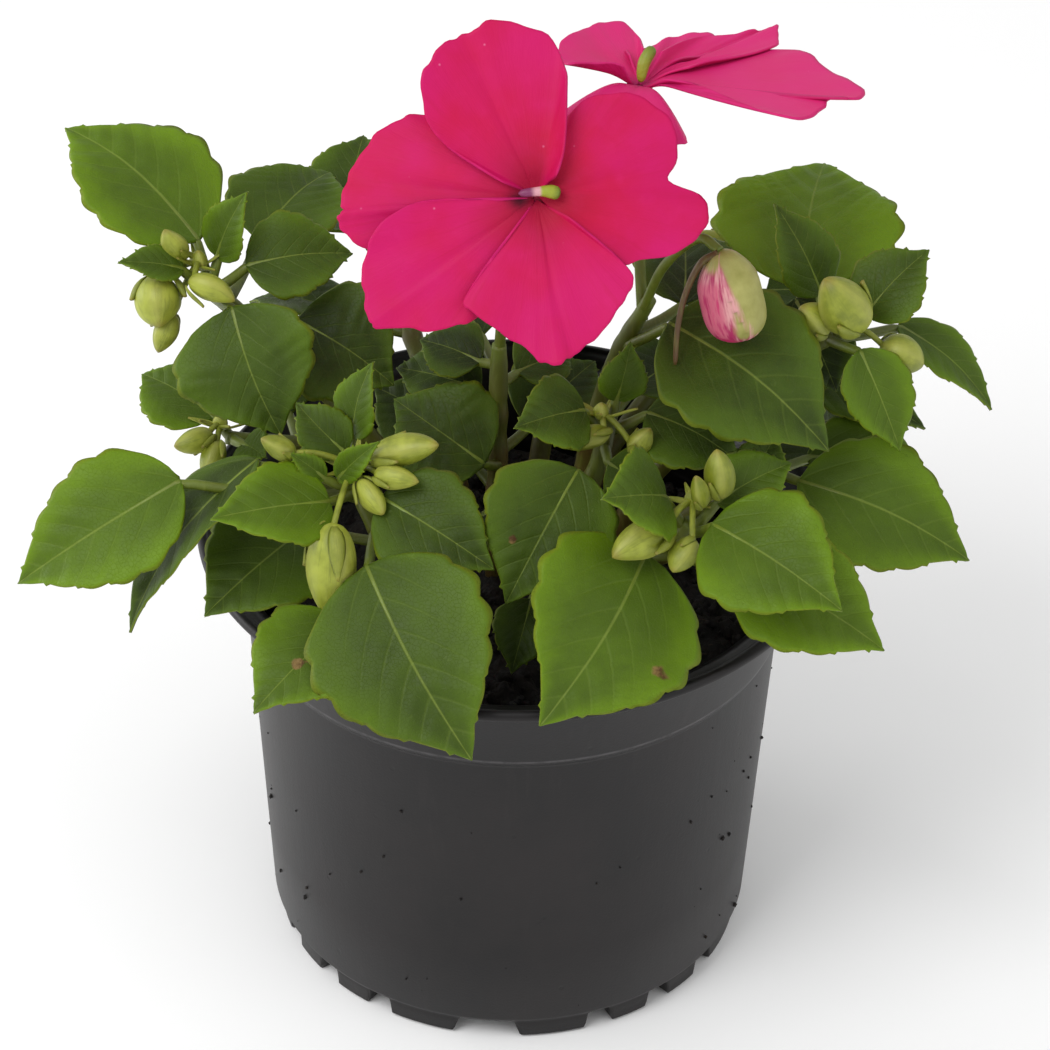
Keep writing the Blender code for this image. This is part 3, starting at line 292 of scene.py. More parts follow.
class Recipe:
    """One material and the nodes that make its finish."""

    def __init__(self, name, **constants):
        self.material = bpy.data.materials.new(name)
        self.material.use_nodes = True
        self.tree = self.material.node_tree
        self.shader = self.tree.nodes["Principled BSDF"]
        for socket, value in constants.items():
            self.shader.inputs[socket.replace("_", " ")].default_value = value

    def node(self, kind, settings=None, inputs=None, output=0):
        """A node of this kind: its settings first, then a value or a wire for each named socket."""
        made = self.tree.nodes.new(kind)
        for setting, value in (settings or {}).items():
            setattr(made, setting, value)
        for socket, value in (inputs or {}).items():
            if isinstance(value, Wire):
                self.tree.links.new(value.socket, made.inputs[socket])
            else:
                made.inputs[socket].default_value = value
        return Wire(self, made.outputs[output])

    def place(self):
        """The place on the object, in metres."""
        return self.node("ShaderNodeTexCoord", output="Object")

    def number(self, name):
        """A number that the mesh carries at its points."""
        return self.node("ShaderNodeAttribute", {"attribute_name": name}, output="Fac")

    def flat(self):
        """The two coordinates of the piece's own flat map."""
        pair = self.node("ShaderNodeUVMap", {"uv_map": "flat"})
        return (self.node("ShaderNodeSeparateXYZ", None, {0: pair}, axis) for axis in (0, 1))

    def vector(self, x, y, z):
        """Three numbers as one place."""
        return self.node("ShaderNodeCombineXYZ", None, {0: x, 1: y, 2: z})

    def noise(self, vector, scale, detail=3.0, roughness=0.55):
        """Soft cloudy noise between 0 and 1."""
        return self.node("ShaderNodeTexNoise", None, {"Vector": vector, "Scale": scale, "Detail": detail,
                                                      "Roughness": roughness})

    def cells(self, vector, scale, feature="F1"):
        """The distance to the nearest of many scattered points."""
        return self.node("ShaderNodeTexVoronoi", {"feature": feature}, {"Vector": vector, "Scale": scale})

    def rise(self, value, low, high):
        """A smooth step: 0 below low and 1 above high, or the other way round where low is the greater."""
        return self.node("ShaderNodeMapRange", {"interpolation_type": "SMOOTHSTEP"},
                         {0: value, 1: low, 2: high})

    def wave(self, value):
        """The distance from a number to the nearest whole number, from 0 to one half."""
        return self.node("ShaderNodeMath", {"operation": "PINGPONG"}, {0: value, 1: 0.5})

    def blend(self, share, first, second):
        """The first colour where share is 0, the second where it is 1."""
        sockets = {MIX_SHARE: share, MIX_FIRST: first, MIX_SECOND: second}
        return self.node("ShaderNodeMix", {"data_type": "RGBA"}, sockets, MIX_RESULT)

    def relief(self, height, depth, strength=1.0):
        """A bump of that depth in metres from a height between 0 and 1."""
        return self.node("ShaderNodeBump", None, {"Strength": strength, "Distance": depth, "Height": height})

    def finish(self, **links):
        """Wire the shader's sockets and hand back the material."""
        for socket, wire in links.items():
            self.tree.links.new(wire.socket, self.shader.inputs[socket.replace("_", " ")])
        return self.material


def paint(red, green, blue):
    """A screen colour from 0 to 255 as the linear light that a shader works in."""
    screen = np.array((red, green, blue)) / 255.0
    light = np.where(screen <= 0.04045, screen / 12.92, ((screen + 0.055) / 1.055) ** 2.4)
    return (*(float(value) for value in light), 1.0)


# %% [markdown]
# ## The studio
# The plant stands on a plain white floor, under soft light from all round. A large soft lamp hangs above
# on the left, a weaker one on the right, and a low one behind on the left lights the pot's edge. The
# camera looks down by 36.5 degrees from well back, through a long lens, rolled by about a degree, as the
# photograph shows. Its place is worked out here from the lip's radius in pixels, which is surer than
# moving it by eye.

# %% Camera
IMAGE = 1050
CAMERA_FALL = math.radians(36.5)
CAMERA_ROLL = math.radians(1.07)
CAMERA_DISTANCE = 750.0
LIP_RADIUS = 52.5
POT_HEIGHT = 80.0
LIP_PIXELS = 317.7
AIM_RIGHT = 0.033 * LIP_RADIUS
AIM_UP = -0.03 * LIP_RADIUS
SENSOR = 36.0
NEAREST = 0.05

forward = np.array((0.0, math.cos(CAMERA_FALL), -math.sin(CAMERA_FALL)))
rightward = np.array((1.0, 0.0, 0.0))
upward = np.cross(rightward, forward)
eye = (np.array((0.0, 0.0, POT_HEIGHT)) - CAMERA_DISTANCE * forward + AIM_RIGHT * rightward
       + AIM_UP * upward)
focal_pixels = LIP_PIXELS * CAMERA_DISTANCE / LIP_RADIUS
lens = bpy.data.cameras.new("camera")
lens.sensor_width = SENSOR
lens.lens = SENSOR * focal_pixels / IMAGE
lens.clip_start = NEAREST
camera = placed("camera", lens)
turned_right = math.cos(CAMERA_ROLL) * rightward + math.sin(CAMERA_ROLL) * upward
turned_up = math.cos(CAMERA_ROLL) * upward - math.sin(CAMERA_ROLL) * rightward
axes = np.column_stack((turned_right, turned_up, -forward, eye * MM))
camera.matrix_world = Matrix([*axes.tolist(), (0.0, 0.0, 0.0, 1.0)])
bpy.context.scene.camera = camera
print(f"Lens {lens.lens:.1f} mm, eye at {np.round(eye, 1)} mm")

# %% Floor, sky and lamps
FLOOR_HALF = 3.0
FLOOR_HEIGHT = -0.0002
SKY_STRENGTH = 0.72
LAMP_AIM = 0.09
# Each lamp's name, place in metres, width in metres and power in watts
LAMPS = [("key", (-0.5, -0.55, 0.95), 0.6, 6.5), ("fill", (0.9, -0.6, 0.6), 0.8, 1.5),
         ("edge", (-0.95, 0.25, 0.2), 0.5, 3.6)]
bpy.context.scene.view_settings.view_transform = "Standard"


def flat_square(name, half, height):
    """A level square sheet, half its width to each side of the middle."""
    mesh = bpy.data.meshes.new(name)
    corners = [(-half, -half, height), (half, -half, height), (half, half, height), (-half, half, height)]
    mesh.from_pydata(corners, [], [(0, 1, 2, 3)])
    return placed(name, mesh)


def soft_lamp(name, place, size, power):
    """A square area lamp that looks at the middle of the plant."""
    lamp = bpy.data.lights.new(name, "AREA")
    lamp.size = size
    lamp.energy = power
    holder = placed(name, lamp)
    back = unit(np.array(place) - (0.0, 0.0, LAMP_AIM))
    side = unit(np.cross((0.0, 0.0, 1.0), back))
    turn = np.column_stack((side, np.cross(back, side), back, place))
    holder.matrix_world = Matrix([*turn.tolist(), (0.0, 0.0, 0.0, 1.0)])


floor_paint = Recipe("floor_white", Roughness=0.9, Base_Color=paint(254, 254, 254))
floor = flat_square("floor", FLOOR_HALF, FLOOR_HEIGHT)
floor.data.materials.append(floor_paint.material)
sky = bpy.data.worlds.new("studio")
sky.use_nodes = True
sky_light = sky.node_tree.nodes["Background"]
sky_light.inputs["Color"].default_value = (1.0, 1.0, 1.0, 1.0)
sky_light.inputs["Strength"].default_value = SKY_STRENGTH
bpy.context.scene.world = sky
for lamp in LAMPS:
    soft_lamp(*lamp)
print("Floor, sky and", len(LAMPS), "lamps")

# %% [markdown]
# ## The pot
# A thin moulded pot: a rolled-out lip, a fine raised line where the wall thickens, a straight taper and a
# foot ring with notches that let water out. A Screw modifier could turn its profile. A formula turns it
# here, because the notches can then be part of it: inside a notch the ring's lower points are lifted.

# %% Pot finish
COLLAR_RIDGE = 0.0643
NECK_RIDGE = 0.0752


def make_pot_finish():
    """Dark grey plastic with a cloudy sheen, streaks, specks, painted highlight on two raised lines, painted
    shade inside.
    """
    pot = Recipe("pot_plastic", Metallic=0.0, Specular_IOR_Level=0.3)
    place = pot.place()
    height = pot.node("ShaderNodeSeparateXYZ", None, {0: place}, 2)
    inside = pot.number("inside")
    stretched = pot.node("ShaderNodeMapping", None, {"Vector": place, "Scale": (1.0, 1.0, 0.12)})
    streaks = pot.noise(stretched, 420.0, 4.0, 0.6)
    clouds = pot.noise(place, 38.0, 4.0, 0.6)
    grain = pot.noise(place, 2600.0, 2.0, 0.5)
    specks = pot.rise(pot.cells(place, 210.0), 0.13, 0.05) * pot.rise(pot.noise(place, 60.0), 0.5, 0.62)
    worn = pot.blend(pot.rise(clouds, 0.3, 0.75), paint(13, 11, 12), paint(27, 23, 23))
    streaked = pot.blend(pot.rise(streaks, 0.55, 0.85) * 0.2, worn, paint(56, 50, 50))
    specked = pot.blend(specks * 0.6, streaked, paint(10, 9, 8))
    # Painted highlight: pale thin lines along the raised collar and neck lines, where they catch the light
    ridge_highlight = (pot.rise(abs(height - COLLAR_RIDGE), 0.00034, 0.00012)
              + pot.rise(abs(height - NECK_RIDGE), 0.0003, 0.0001))
    ridge_highlighted = pot.blend(ridge_highlight * pot.rise(streaks, 0.25, 0.6) * 0.36, specked, paint(98, 95, 97))
    # Painted shade: the inside of the wall and lip is darkened to near black, as it lies in shade
    colour = pot.blend(inside * 0.7, ridge_highlighted, paint(8, 8, 8))
    roughness = 0.34 + clouds * 0.14 + grain * 0.05 - inside * 0.12
    bumps = pot.relief(grain * 0.35 + streaks * 0.5 - specks * 0.4, 0.00012, 0.5)
    return pot.finish(Base_Color=colour, Roughness=roughness, Normal=bumps)


pot_finish = make_pot_finish()

# %% Pot shape
LIP_WIDTH = 2.8
LIP_DEPTH = 3.0
LIP_ROUND = 1.1
LIP_STEPS = 12
NECK_RADIUS = 47.3
COLLAR_RADIUS = 44.9
COLLAR_HEIGHT = 63.4
WALL_FOOT_RADIUS = 40.9
WALL_FOOT_HEIGHT = 4.4
FOOT_RADIUS = 39.8
FOOT_WIDTH = 3.0
WALL = 1.2
POT_FLOOR = 5.6
NOTCH_TURN = -4.6
WIDE_NOTCH = 16.0
NARROW_NOTCH = 7.0
NOTCH_HEIGHT = 3.9
NOTCH_ROOF = 3.6
# Offsets within a quarter turn and widths of a wide notch and the three narrow ones after it, in degrees
NOTCHES = [(0.0, WIDE_NOTCH), (28.0, NARROW_NOTCH), (45.0, NARROW_NOTCH), (62.0, NARROW_NOTCH)]
POT_SIDES = 720
INNER_RINGS = 14


def wall_radius(height):
    """The outer radius of the plain wall: a straight line from the foot to the collar."""
    climb = (height - WALL_FOOT_HEIGHT) / (COLLAR_HEIGHT - WALL_FOOT_HEIGHT)
    return WALL_FOOT_RADIUS + climb * (COLLAR_RADIUS - 0.5 - WALL_FOOT_RADIUS)


def notch_share(angle):
    """One inside a notch and nought between: four wide notches, and three narrow ones between each pair."""
    turn = np.degrees(angle)
    share = np.zeros_like(turn)
    for quarter in range(4):
        for offset, span in NOTCHES:
            away = np.abs((turn - NOTCH_TURN - 90.0 * quarter - offset + 180.0) % 360.0 - 180.0)
            share = np.maximum(share, ease(away, 0.55 * span, 0.38 * span))
    return share


def turned_body(ring, first, last, **numbers):
    """Rings about the Z axis that run from one point on it, at the height first, to another at last."""
    points = np.concatenate((ring.reshape(-1, 3), [(0.0, 0.0, first), (0.0, 0.0, last)]))
    return Patch(points, ring_faces(*ring.shape[:2], True), **numbers)


def pot_surface():
    """The profile turned round Z: (r sin a, -r cos a, z). A notch lifts z of the foot's low points."""
    neck = POT_HEIGHT - LIP_DEPTH
    lip_turn = np.radians(np.linspace(150.0, -20.0, LIP_STEPS))
    profile = [(0.0, POT_FLOOR + 1.0), (WALL_FOOT_RADIUS - 6.0, POT_FLOOR),
               (WALL_FOOT_RADIUS - 2.5, POT_FLOOR + 0.8),
               (wall_radius(POT_FLOOR + 3.0) - WALL, POT_FLOOR + 3.0),
               (wall_radius(COLLAR_HEIGHT - 2.0) - WALL, COLLAR_HEIGHT - 2.0),
               (COLLAR_RADIUS - 0.6, COLLAR_HEIGHT + 1.5), (NECK_RADIUS - WALL, neck - 0.4),
               (NECK_RADIUS + 0.2, neck + 0.9), (LIP_RADIUS - LIP_WIDTH, POT_HEIGHT - 0.5)]
    profile += [(LIP_RADIUS - 1.0 + math.cos(a), POT_HEIGHT - LIP_ROUND + LIP_ROUND * math.sin(a))
                for a in lip_turn]
    profile += [(LIP_RADIUS - 0.6, POT_HEIGHT - 2.0), (LIP_RADIUS - 1.9, POT_HEIGHT - 2.6),
                (NECK_RADIUS + 0.9, neck - 0.6), (NECK_RADIUS + 0.35, neck - 2.0),
                (COLLAR_RADIUS + 0.45, COLLAR_HEIGHT + 1.4), (COLLAR_RADIUS + 0.25, COLLAR_HEIGHT + 0.6),
                (COLLAR_RADIUS, COLLAR_HEIGHT), (COLLAR_RADIUS - 0.4, COLLAR_HEIGHT - 0.3),
                (COLLAR_RADIUS - 0.5, COLLAR_HEIGHT - 0.9),
                (wall_radius(40.0), 40.0), (wall_radius(20.0), 20.0),
                (WALL_FOOT_RADIUS, WALL_FOOT_HEIGHT + 0.6), (WALL_FOOT_RADIUS - 0.3, WALL_FOOT_HEIGHT),
                (FOOT_RADIUS + 0.1, WALL_FOOT_HEIGHT - 0.7), (FOOT_RADIUS, WALL_FOOT_HEIGHT - 1.2),
                (FOOT_RADIUS - 0.1, 0.4), (FOOT_RADIUS - 0.5, 0.0), (FOOT_RADIUS - FOOT_WIDTH + 0.3, 0.0),
                (FOOT_RADIUS - FOOT_WIDTH, 0.4), (FOOT_RADIUS - FOOT_WIDTH - 0.6, POT_FLOOR - WALL - 0.4),
                (0.0, POT_FLOOR - WALL + 0.8)]
    profile = np.array(profile)
    angle = round_angles(POT_SIDES)
    radius = np.broadcast_to(profile[1:-1, 0:1], (len(profile) - 2, POT_SIDES))
    height = np.broadcast_to(profile[1:-1, 1:2], radius.shape)
    notch = NOTCH_HEIGHT * notch_share(angle)[None, :]
    foot = radius > FOOT_RADIUS - FOOT_WIDTH - 1.5
    height = np.where(foot, np.maximum(height, np.minimum(notch, NOTCH_ROOF + 0.02 * height)), height)
    ring = np.stack((radius * np.sin(angle), -radius * np.cos(angle), height), axis=-1)
    # The inner rings carry the number inside, which the finish uses for painted shade and a glossier surface
    within = np.repeat(np.arange(len(ring)) < INNER_RINGS, POT_SIDES)
    return turned_body(ring, profile[0, 1], profile[-1, 1], inside=np.concatenate((within, (1.0, 0.0))))


pot_piece = put_mesh("pot_wall", pot_surface(), pot_finish, ["pot"])

# %% [markdown]
# ## Drain holes
# Four round holes in the floor let water out. They could be part of the turned grid only with much
# cutting, so four plugs are taken from the finished pot with a Boolean, whose result is kept as the pot's
# own mesh.

# %% Drain holes
DRAIN_RADIUS = 3.4
DRAIN_RING = 25.0
DRAIN_SIDES = 32
DRAIN_TURNS = 40.0 + 90.0 * np.arange(4)
drain_path = np.array(((0.0, 0.0, -1.0), (0.0, 0.0, POT_FLOOR + 4.0)))
drain_plugs = joined([tube(drain_path + DRAIN_RING * np.array((math.cos(a), math.sin(a), 0.0)),
                           [DRAIN_RADIUS, DRAIN_RADIUS], DRAIN_SIDES) for a in np.radians(DRAIN_TURNS)])
cutter_mesh = bpy.data.meshes.new("drain_plugs")
cutter_faces = [tuple(face) for block in drain_plugs.faces for face in block.tolist()]
cutter_mesh.from_pydata((drain_plugs.points * MM).tolist(), [], cutter_faces)
cutter = placed("drain_plugs", cutter_mesh)
drill = pot_piece.modifiers.new("Drain holes", "BOOLEAN")
drill.operation = "DIFFERENCE"
drill.solver = "EXACT"
drill.object = cutter
drilled = bpy.data.meshes.new_from_object(pot_piece.evaluated_get(bpy.context.evaluated_depsgraph_get()))
pot_piece.modifiers.clear()
pot_piece.data = drilled
bpy.data.objects.remove(cutter)
print("pot_wall drilled:", len(drilled.polygons), "faces")

# %% [markdown]
# ## The compost
# Damp, nearly black and crumbly. The top is a low crown with waves on it. Noise in the finish alone would
# look flat from the side, so the surface itself is rough, and loose crumbs lie on it.

# %% Compost finish
def make_compost_finish():
    """Nearly black crumbs, with a few lighter brown fibres, rough all over."""
    compost = Recipe("compost_crumb", Metallic=0.0)
    place = compost.place()
    lumps = compost.noise(place, 260.0, 6.0, 0.7)
    crumbs = compost.cells(place, 900.0)
    long_way = compost.node("ShaderNodeMapping", None, {"Vector": place, "Rotation": (0.3, 0.2, 0.9),
                                                        "Scale": (0.2, 1.0, 1.0)})
    fibres = compost.rise(compost.noise(long_way, 1100.0, 2.0), 0.66, 0.74)
    dark = compost.blend(compost.rise(lumps, 0.35, 0.7), paint(10, 8, 7), paint(34, 27, 22))
    colour = compost.blend(fibres * 0.45, dark, paint(86, 66, 46))
    relief = compost.relief(lumps + (1.0 - crumbs) * 0.5, 0.0012, 0.9)
    return compost.finish(Base_Color=colour, Roughness=0.75 + lumps * 0.25, Normal=relief)


compost_finish = make_compost_finish()

# %% Compost shape
GAP = 0.3
SOIL_RIM_HEIGHT = 64.5
SOIL_CROWN = 3.0
SOIL_LUMP = 0.9
SOIL_EDGE = SOIL_RIM_HEIGHT - 3.2
SOIL_RINGS = 64
SOIL_SIDES = 300
CRUMBLE_WAVES = 30
CRUMBLE_SHARE = 0.028


def soil_top(x, y):
    """Height of the compost: a low crown with lumps from a few crossing waves."""
    distance = np.hypot(x, y) / COLLAR_RADIUS
    lumps = (np.sin(0.31 * x + 1.0) * np.cos(0.27 * y) + 0.6 * np.sin(0.55 * x - 0.43 * y + 2.0)
             + 0.5 * np.cos(0.21 * x + 0.66 * y))
    return SOIL_RIM_HEIGHT + SOIL_CROWN * (1.0 - distance ** 2) + SOIL_LUMP * lumps * (1.0 - distance ** 4)


def crumble(x, y, draw):
    """Fine roughness: the sum of many short waves in drawn directions, the shorter the lower."""
    length = draw.uniform(1.2, 6.0, CRUMBLE_WAVES)
    turn = draw.uniform(0.0, np.pi, CRUMBLE_WAVES)
    start = draw.uniform(0.0, 2.0 * np.pi, CRUMBLE_WAVES)
    phase = 2.0 * np.pi / length * (x[..., None] * np.cos(turn) + y[..., None] * np.sin(turn)) + start
    return (np.sin(phase) * length).sum(axis=-1) * CRUMBLE_SHARE


def soil_surface(draw):
    """A turned plug: rings out to the wall on top, down inside the wall, and back to the middle below."""
    side = WALL + GAP
    edge = wall_radius(COLLAR_HEIGHT - 2.0) - side
    spread = np.linspace(0.6, edge - 0.3, SOIL_RINGS)
    low = np.array([(edge, SOIL_EDGE), (wall_radius(POT_FLOOR + 3.0) - side, POT_FLOOR + 3.0),
                    (WALL_FOOT_RADIUS - 5.5, POT_FLOOR + 1.5), (1.0, POT_FLOOR + 1.6)])
    angle = round_angles(SOIL_SIDES)
    radius = np.concatenate((spread, low[:, 0]))[:, None] + np.zeros(SOIL_SIDES)
    x, y = radius * np.cos(angle), radius * np.sin(angle)
    top = soil_top(x, y) + crumble(x, y, draw)
    top = top + (SOIL_EDGE - top) * ease(radius, edge - 3.5, edge)
    height = np.concatenate((top[:SOIL_RINGS], np.broadcast_to(low[:, 1:2], (len(low), SOIL_SIDES))))
    return turned_body(np.stack((x, y, height), axis=-1), height[0].mean(), low[-1, 1])


# %% Crumbs
LOOSE_CRUMBS = 900
LOOSE_REACH = 42.0
STUCK_CRUMBS = 120
BALL_RINGS = 4
BALL_SIDES = 6


def loose_crumbs(count, draw):
    """Middles and sizes of crumbs that lie on the compost."""
    turn = draw.uniform(0.0, 2.0 * np.pi, count)
    away = LOOSE_REACH * np.sqrt(draw.uniform(0.02, 1.0, count))
    x, y = away * np.cos(turn), away * np.sin(turn)
    size = draw.uniform(0.35, 1.2, count) ** 1.5
    middle = np.stack((x, y, soil_top(x, y) + 0.25 * size), axis=-1)
    middle[:, 2] -= 3.0 * ease(away, 39.5, 43.0)
    return middle, size


def stuck_crumbs(count, draw):
    """Middles and sizes of small crumbs that stick to the outside of the pot's wall."""
    turn = draw.uniform(0.0, 2.0 * np.pi, count)
    height = draw.uniform(WALL_FOOT_HEIGHT + 2.0, COLLAR_HEIGHT - 3.0, count)
    size = draw.uniform(0.3, 0.74, count) ** 3
    away = wall_radius(height) + 0.3 * size
    return np.stack((away * np.cos(turn), away * np.sin(turn), height), axis=-1), size


def crumbs(middle, size, draw):
    """Lumps at these middles: each is a ball of a few dozen faces, stretched and pushed by drawn amounts."""
    count = len(size)
    fall = np.linspace(0.0, np.pi, BALL_RINGS + 2)[1:-1]
    angle = round_angles(BALL_SIDES)
    ring = np.stack((np.sin(fall)[:, None] * np.cos(angle), np.sin(fall)[:, None] * np.sin(angle),
                     np.cos(fall)[:, None] + 0.0 * angle), axis=-1).reshape(-1, 3)
    ball = np.concatenate((ring, [(0.0, 0.0, 1.0), (0.0, 0.0, -1.0)]))
    jitter = draw.uniform(0.65, 1.3, (count, len(ball), 1)) * draw.uniform(0.7, 1.3, (count, 1, 3))
    points = middle[:, None, :] + size[:, None, None] * ball * jitter
    start = (np.arange(count) * len(ball))[:, None, None]
    return Patch(points, [(block[None] + start).reshape(-1, block.shape[1])
                          for block in ring_faces(BALL_RINGS, BALL_SIDES, True)])


soil_draw = np.random.default_rng(11)
soil_parts = [soil_surface(soil_draw), crumbs(*loose_crumbs(LOOSE_CRUMBS, soil_draw), soil_draw),
              crumbs(*stuck_crumbs(STUCK_CRUMBS, soil_draw), soil_draw)]
put_mesh("compost", joined(soil_parts), compost_finish, ["soil"])

# %% [markdown]
# ## Leaves
# A busy lizzie's leaf is egg-shaped and runs out to a point. Its margin has shallow rounded teeth with a
# tiny bristle in each notch, its midrib is pale, and five or six pairs of side veins curve up towards the
# tip, with the blade quilted softly between them. A picture of a leaf on a flat card would do from far
# off. Here each leaf is a grid of its own: rows up the midrib, ten to each tooth, and columns from margin
# to margin. Three constants say how the side veins run, and both the finish and the shape read them, so
# that the pale lines lie in the grooves.

# %% Leaf finish
VEIN_SLOPE = 0.85
VEIN_CURVE = 1.7
VEIN_PAIRS = 6.0


def make_leaf_finish():
    """Green that follows the leaf's own map: pale midrib and veins, yellow margin, a paler underside."""
    leaf = Recipe("leaf_green", Metallic=0.0, Specular_IOR_Level=0.22)
    place = leaf.place()
    across, along = leaf.flat()
    away = abs(across - 0.5)
    vein_run = (along - away * VEIN_SLOPE - away * away * VEIN_CURVE) * VEIN_PAIRS
    to_vein = leaf.wave(vein_run)
    mottling = leaf.noise(place, 330.0, 5.0, 0.6)
    patches = leaf.noise(place, 90.0, 3.0, 0.5)
    network = leaf.cells(place, 1500.0, "DISTANCE_TO_EDGE")
    vein = leaf.rise(to_vein, 0.1, 0.0) * leaf.rise(away, 0.34, 0.08)
    fine_vein = leaf.rise(network, 0.06, 0.0)
    midrib = leaf.rise(away + along * 0.006, 0.013, 0.005)
    edge = leaf.number("edge")
    margin = leaf.rise(edge, 0.93, 1.0)
    glow = leaf.rise(edge, 0.35, 1.0) * 0.28
    tone = leaf.number("tone") + glow + (patches - 0.5) * 0.4 + (mottling - 0.5) * 0.2 - 0.08
    dark_half = leaf.blend(leaf.rise(tone, 0.0, 0.5), paint(26, 38, 3), paint(66, 88, 12))
    green = leaf.blend(leaf.rise(tone, 0.4, 1.1), dark_half, paint(102, 134, 8))
    veined = leaf.blend(vein * 0.1 + fine_vein * 0.06, green, paint(126, 146, 60))
    ribbed = leaf.blend(midrib * 0.36, veined, paint(142, 158, 70))
    edged = leaf.blend(margin * 0.5, ribbed, paint(134, 142, 30))
    back = leaf.blend(leaf.rise(mottling, 0.3, 0.7), paint(78, 90, 52), paint(92, 104, 64))
    back_veined = leaf.blend(vein * 0.4 + midrib * 0.5, back, paint(126, 138, 90))
    marked = leaf.blend(leaf.rise(leaf.number("mark") + (mottling - 0.5) * 0.9, 0.3, 0.55), edged,
                        leaf.blend(leaf.rise(mottling, 0.4, 0.6), paint(70, 44, 18), paint(128, 104, 60)))
    colour = leaf.blend(leaf.number("under"), marked, back_veined)
    height = mottling * 0.35 - vein * 0.5 - midrib * 0.5 - fine_vein * 0.3
    return leaf.finish(Base_Color=colour, Roughness=0.42 + mottling * 0.2,
                       Normal=leaf.relief(height, 0.00025, 0.55))


leaf_finish = make_leaf_finish()

# %% Leaf shape
TOOTH_ROWS = 10
TOOTH_LENGTH = 5.4
LEAF_COLUMNS = 17
BROADEST = 0.3391
TOOTH_SWEEP = 0.05
TIP_PINCH = 0.2
BRISTLE = 0.4
STUB = 0.55
RUFFLE = 0.026
QUILT = 0.012
TIP_DROOP = 0.035
MIDRIB_GROOVE = 0.3
BLADE = 0.45


def leaf_surface(draw, base, tip, width, face, tone, arch=0.08, fold=0.1, marks=()):
    """A leaf blade as a shell, and its midrib's points. Marks are dry spots: place across, along, and size.

    With t from base to tip and s from margin to margin, the margin lies r = t + 0.05 sin(pi t) along the
    leaf, where the half width swells as r^0.6 (1 - r)^1.05, pinched before the tip. It bulges between its
    notches, with a bristle in each. The height over the flat leaf is the sum of the midrib's arch, the fold
    of the halves, a wave along the margin, a droop at the tip, and a groove at the midrib and each side vein.
    """
    base, tip = np.array(base, float), np.array(tip, float)
    length = np.linalg.norm(tip - base)
    along = unit(tip - base)
    across = unit(np.cross(along, face_direction(*face)))
    normal = np.cross(across, along)
    teeth = max(5, round(length / TOOTH_LENGTH))
    count = np.arange(teeth * TOOTH_ROWS + 1)
    t = (count / count[-1])[:, None]
    even = np.linspace(-1.0, 1.0, LEAF_COLUMNS)[None, :]
    s = 0.6 * even + 0.4 * np.sin(0.5 * np.pi * even)
    r = np.clip(t + TOOTH_SWEEP * np.sin(np.pi * t), 0.0, 1.0)
    point = 1.0 - TIP_PINCH * np.exp(-((r - 0.9) / 0.1) ** 2)
    swell = 0.5 * width * r ** 0.6 * (1.0 - r) ** 1.05 / BROADEST * point
    smooth = np.sqrt(swell ** 2 + (STUB * (1.0 - t)) ** 2 + 0.01)
    phase = (count[:, None] + np.where(s < 0.0, 0, TOOTH_ROWS // 2)) % TOOTH_ROWS / TOOTH_ROWS
    inside = ease(t, 0.05, 0.16) * ease(t, 1.0, 0.92)
    crest = np.sin(np.pi * phase ** 1.6) ** 0.7
    bristle = (phase == 0.0) * inside
    margin = smooth * (1.0 + inside * (0.1 * crest - 0.06)) + BRISTLE * bristle
    out = np.abs(s)
    x = np.sign(s) * (out * smooth + (margin - smooth) * out ** 9)
    reach = t * length + TOOTH_SWEEP * length * np.sin(np.pi * t) * out ** 1.3 + 0.35 * bristle * out ** 9
    vein_run = (reach / length - VEIN_SLOPE * np.abs(x) / length
                - VEIN_CURVE * (x / length) ** 2) * VEIN_PAIRS
    quilt = (-QUILT * width * np.cos(2.0 * np.pi * vein_run) * np.sin(np.pi * out) ** 0.6
             * np.sin(np.pi * t) ** 0.5)
    waves = draw.uniform(1.3, 2.4, 2)
    starts = draw.uniform(0.0, 2.0 * np.pi, 2)
    ruffle = np.where(s < 0.0, np.sin(2 * np.pi * waves[0] * t + starts[0]),
                      np.sin(2 * np.pi * waves[1] * t + starts[1]))
    rise = (arch * length * np.sin(np.pi * t) + fold * smooth * out
            + RUFFLE * width * ruffle * out ** 2.5 * np.sin(np.pi * t)
            + draw.uniform(-0.1, 0.1) * x * t - TIP_DROOP * length * t ** 5
            - MIDRIB_GROOVE * np.exp(-(x / 0.8) ** 2) * ease(t, 1.0, 0.7) + quilt)
    bend = draw.uniform(-0.02, 0.02) * length * np.sin(np.pi * t)
    grid = (base + reach[..., None] * along + (x + bend)[..., None] * across + rise[..., None] * normal)
    flat = np.stack((x / length + 0.5, reach / length), axis=-1)
    mark = np.zeros_like(x)
    for middle_x, middle_y, size in marks:
        mark += np.exp(-(((x / length - middle_x) / size) ** 2 + ((reach / length - middle_y) / size) ** 2))
    blade = shell(grid, BLADE, flat, edge=out * np.ones_like(t), tone=tone, mark=mark)
    return blade, grid[:, LEAF_COLUMNS // 2] - MIDRIB_GROOVE * normal


# %% [markdown]
# ## Stems and stalks
# The stems are thick and juicy, pale green at the top and browner below, and swell a little where each
# leaf stalk leaves. A curve with a bevel would give a plain pipe. A tube with a radius for each of its
# rings also takes the swellings, and a leaf stalk can run on under the blade as its midrib and thin to
# nothing.

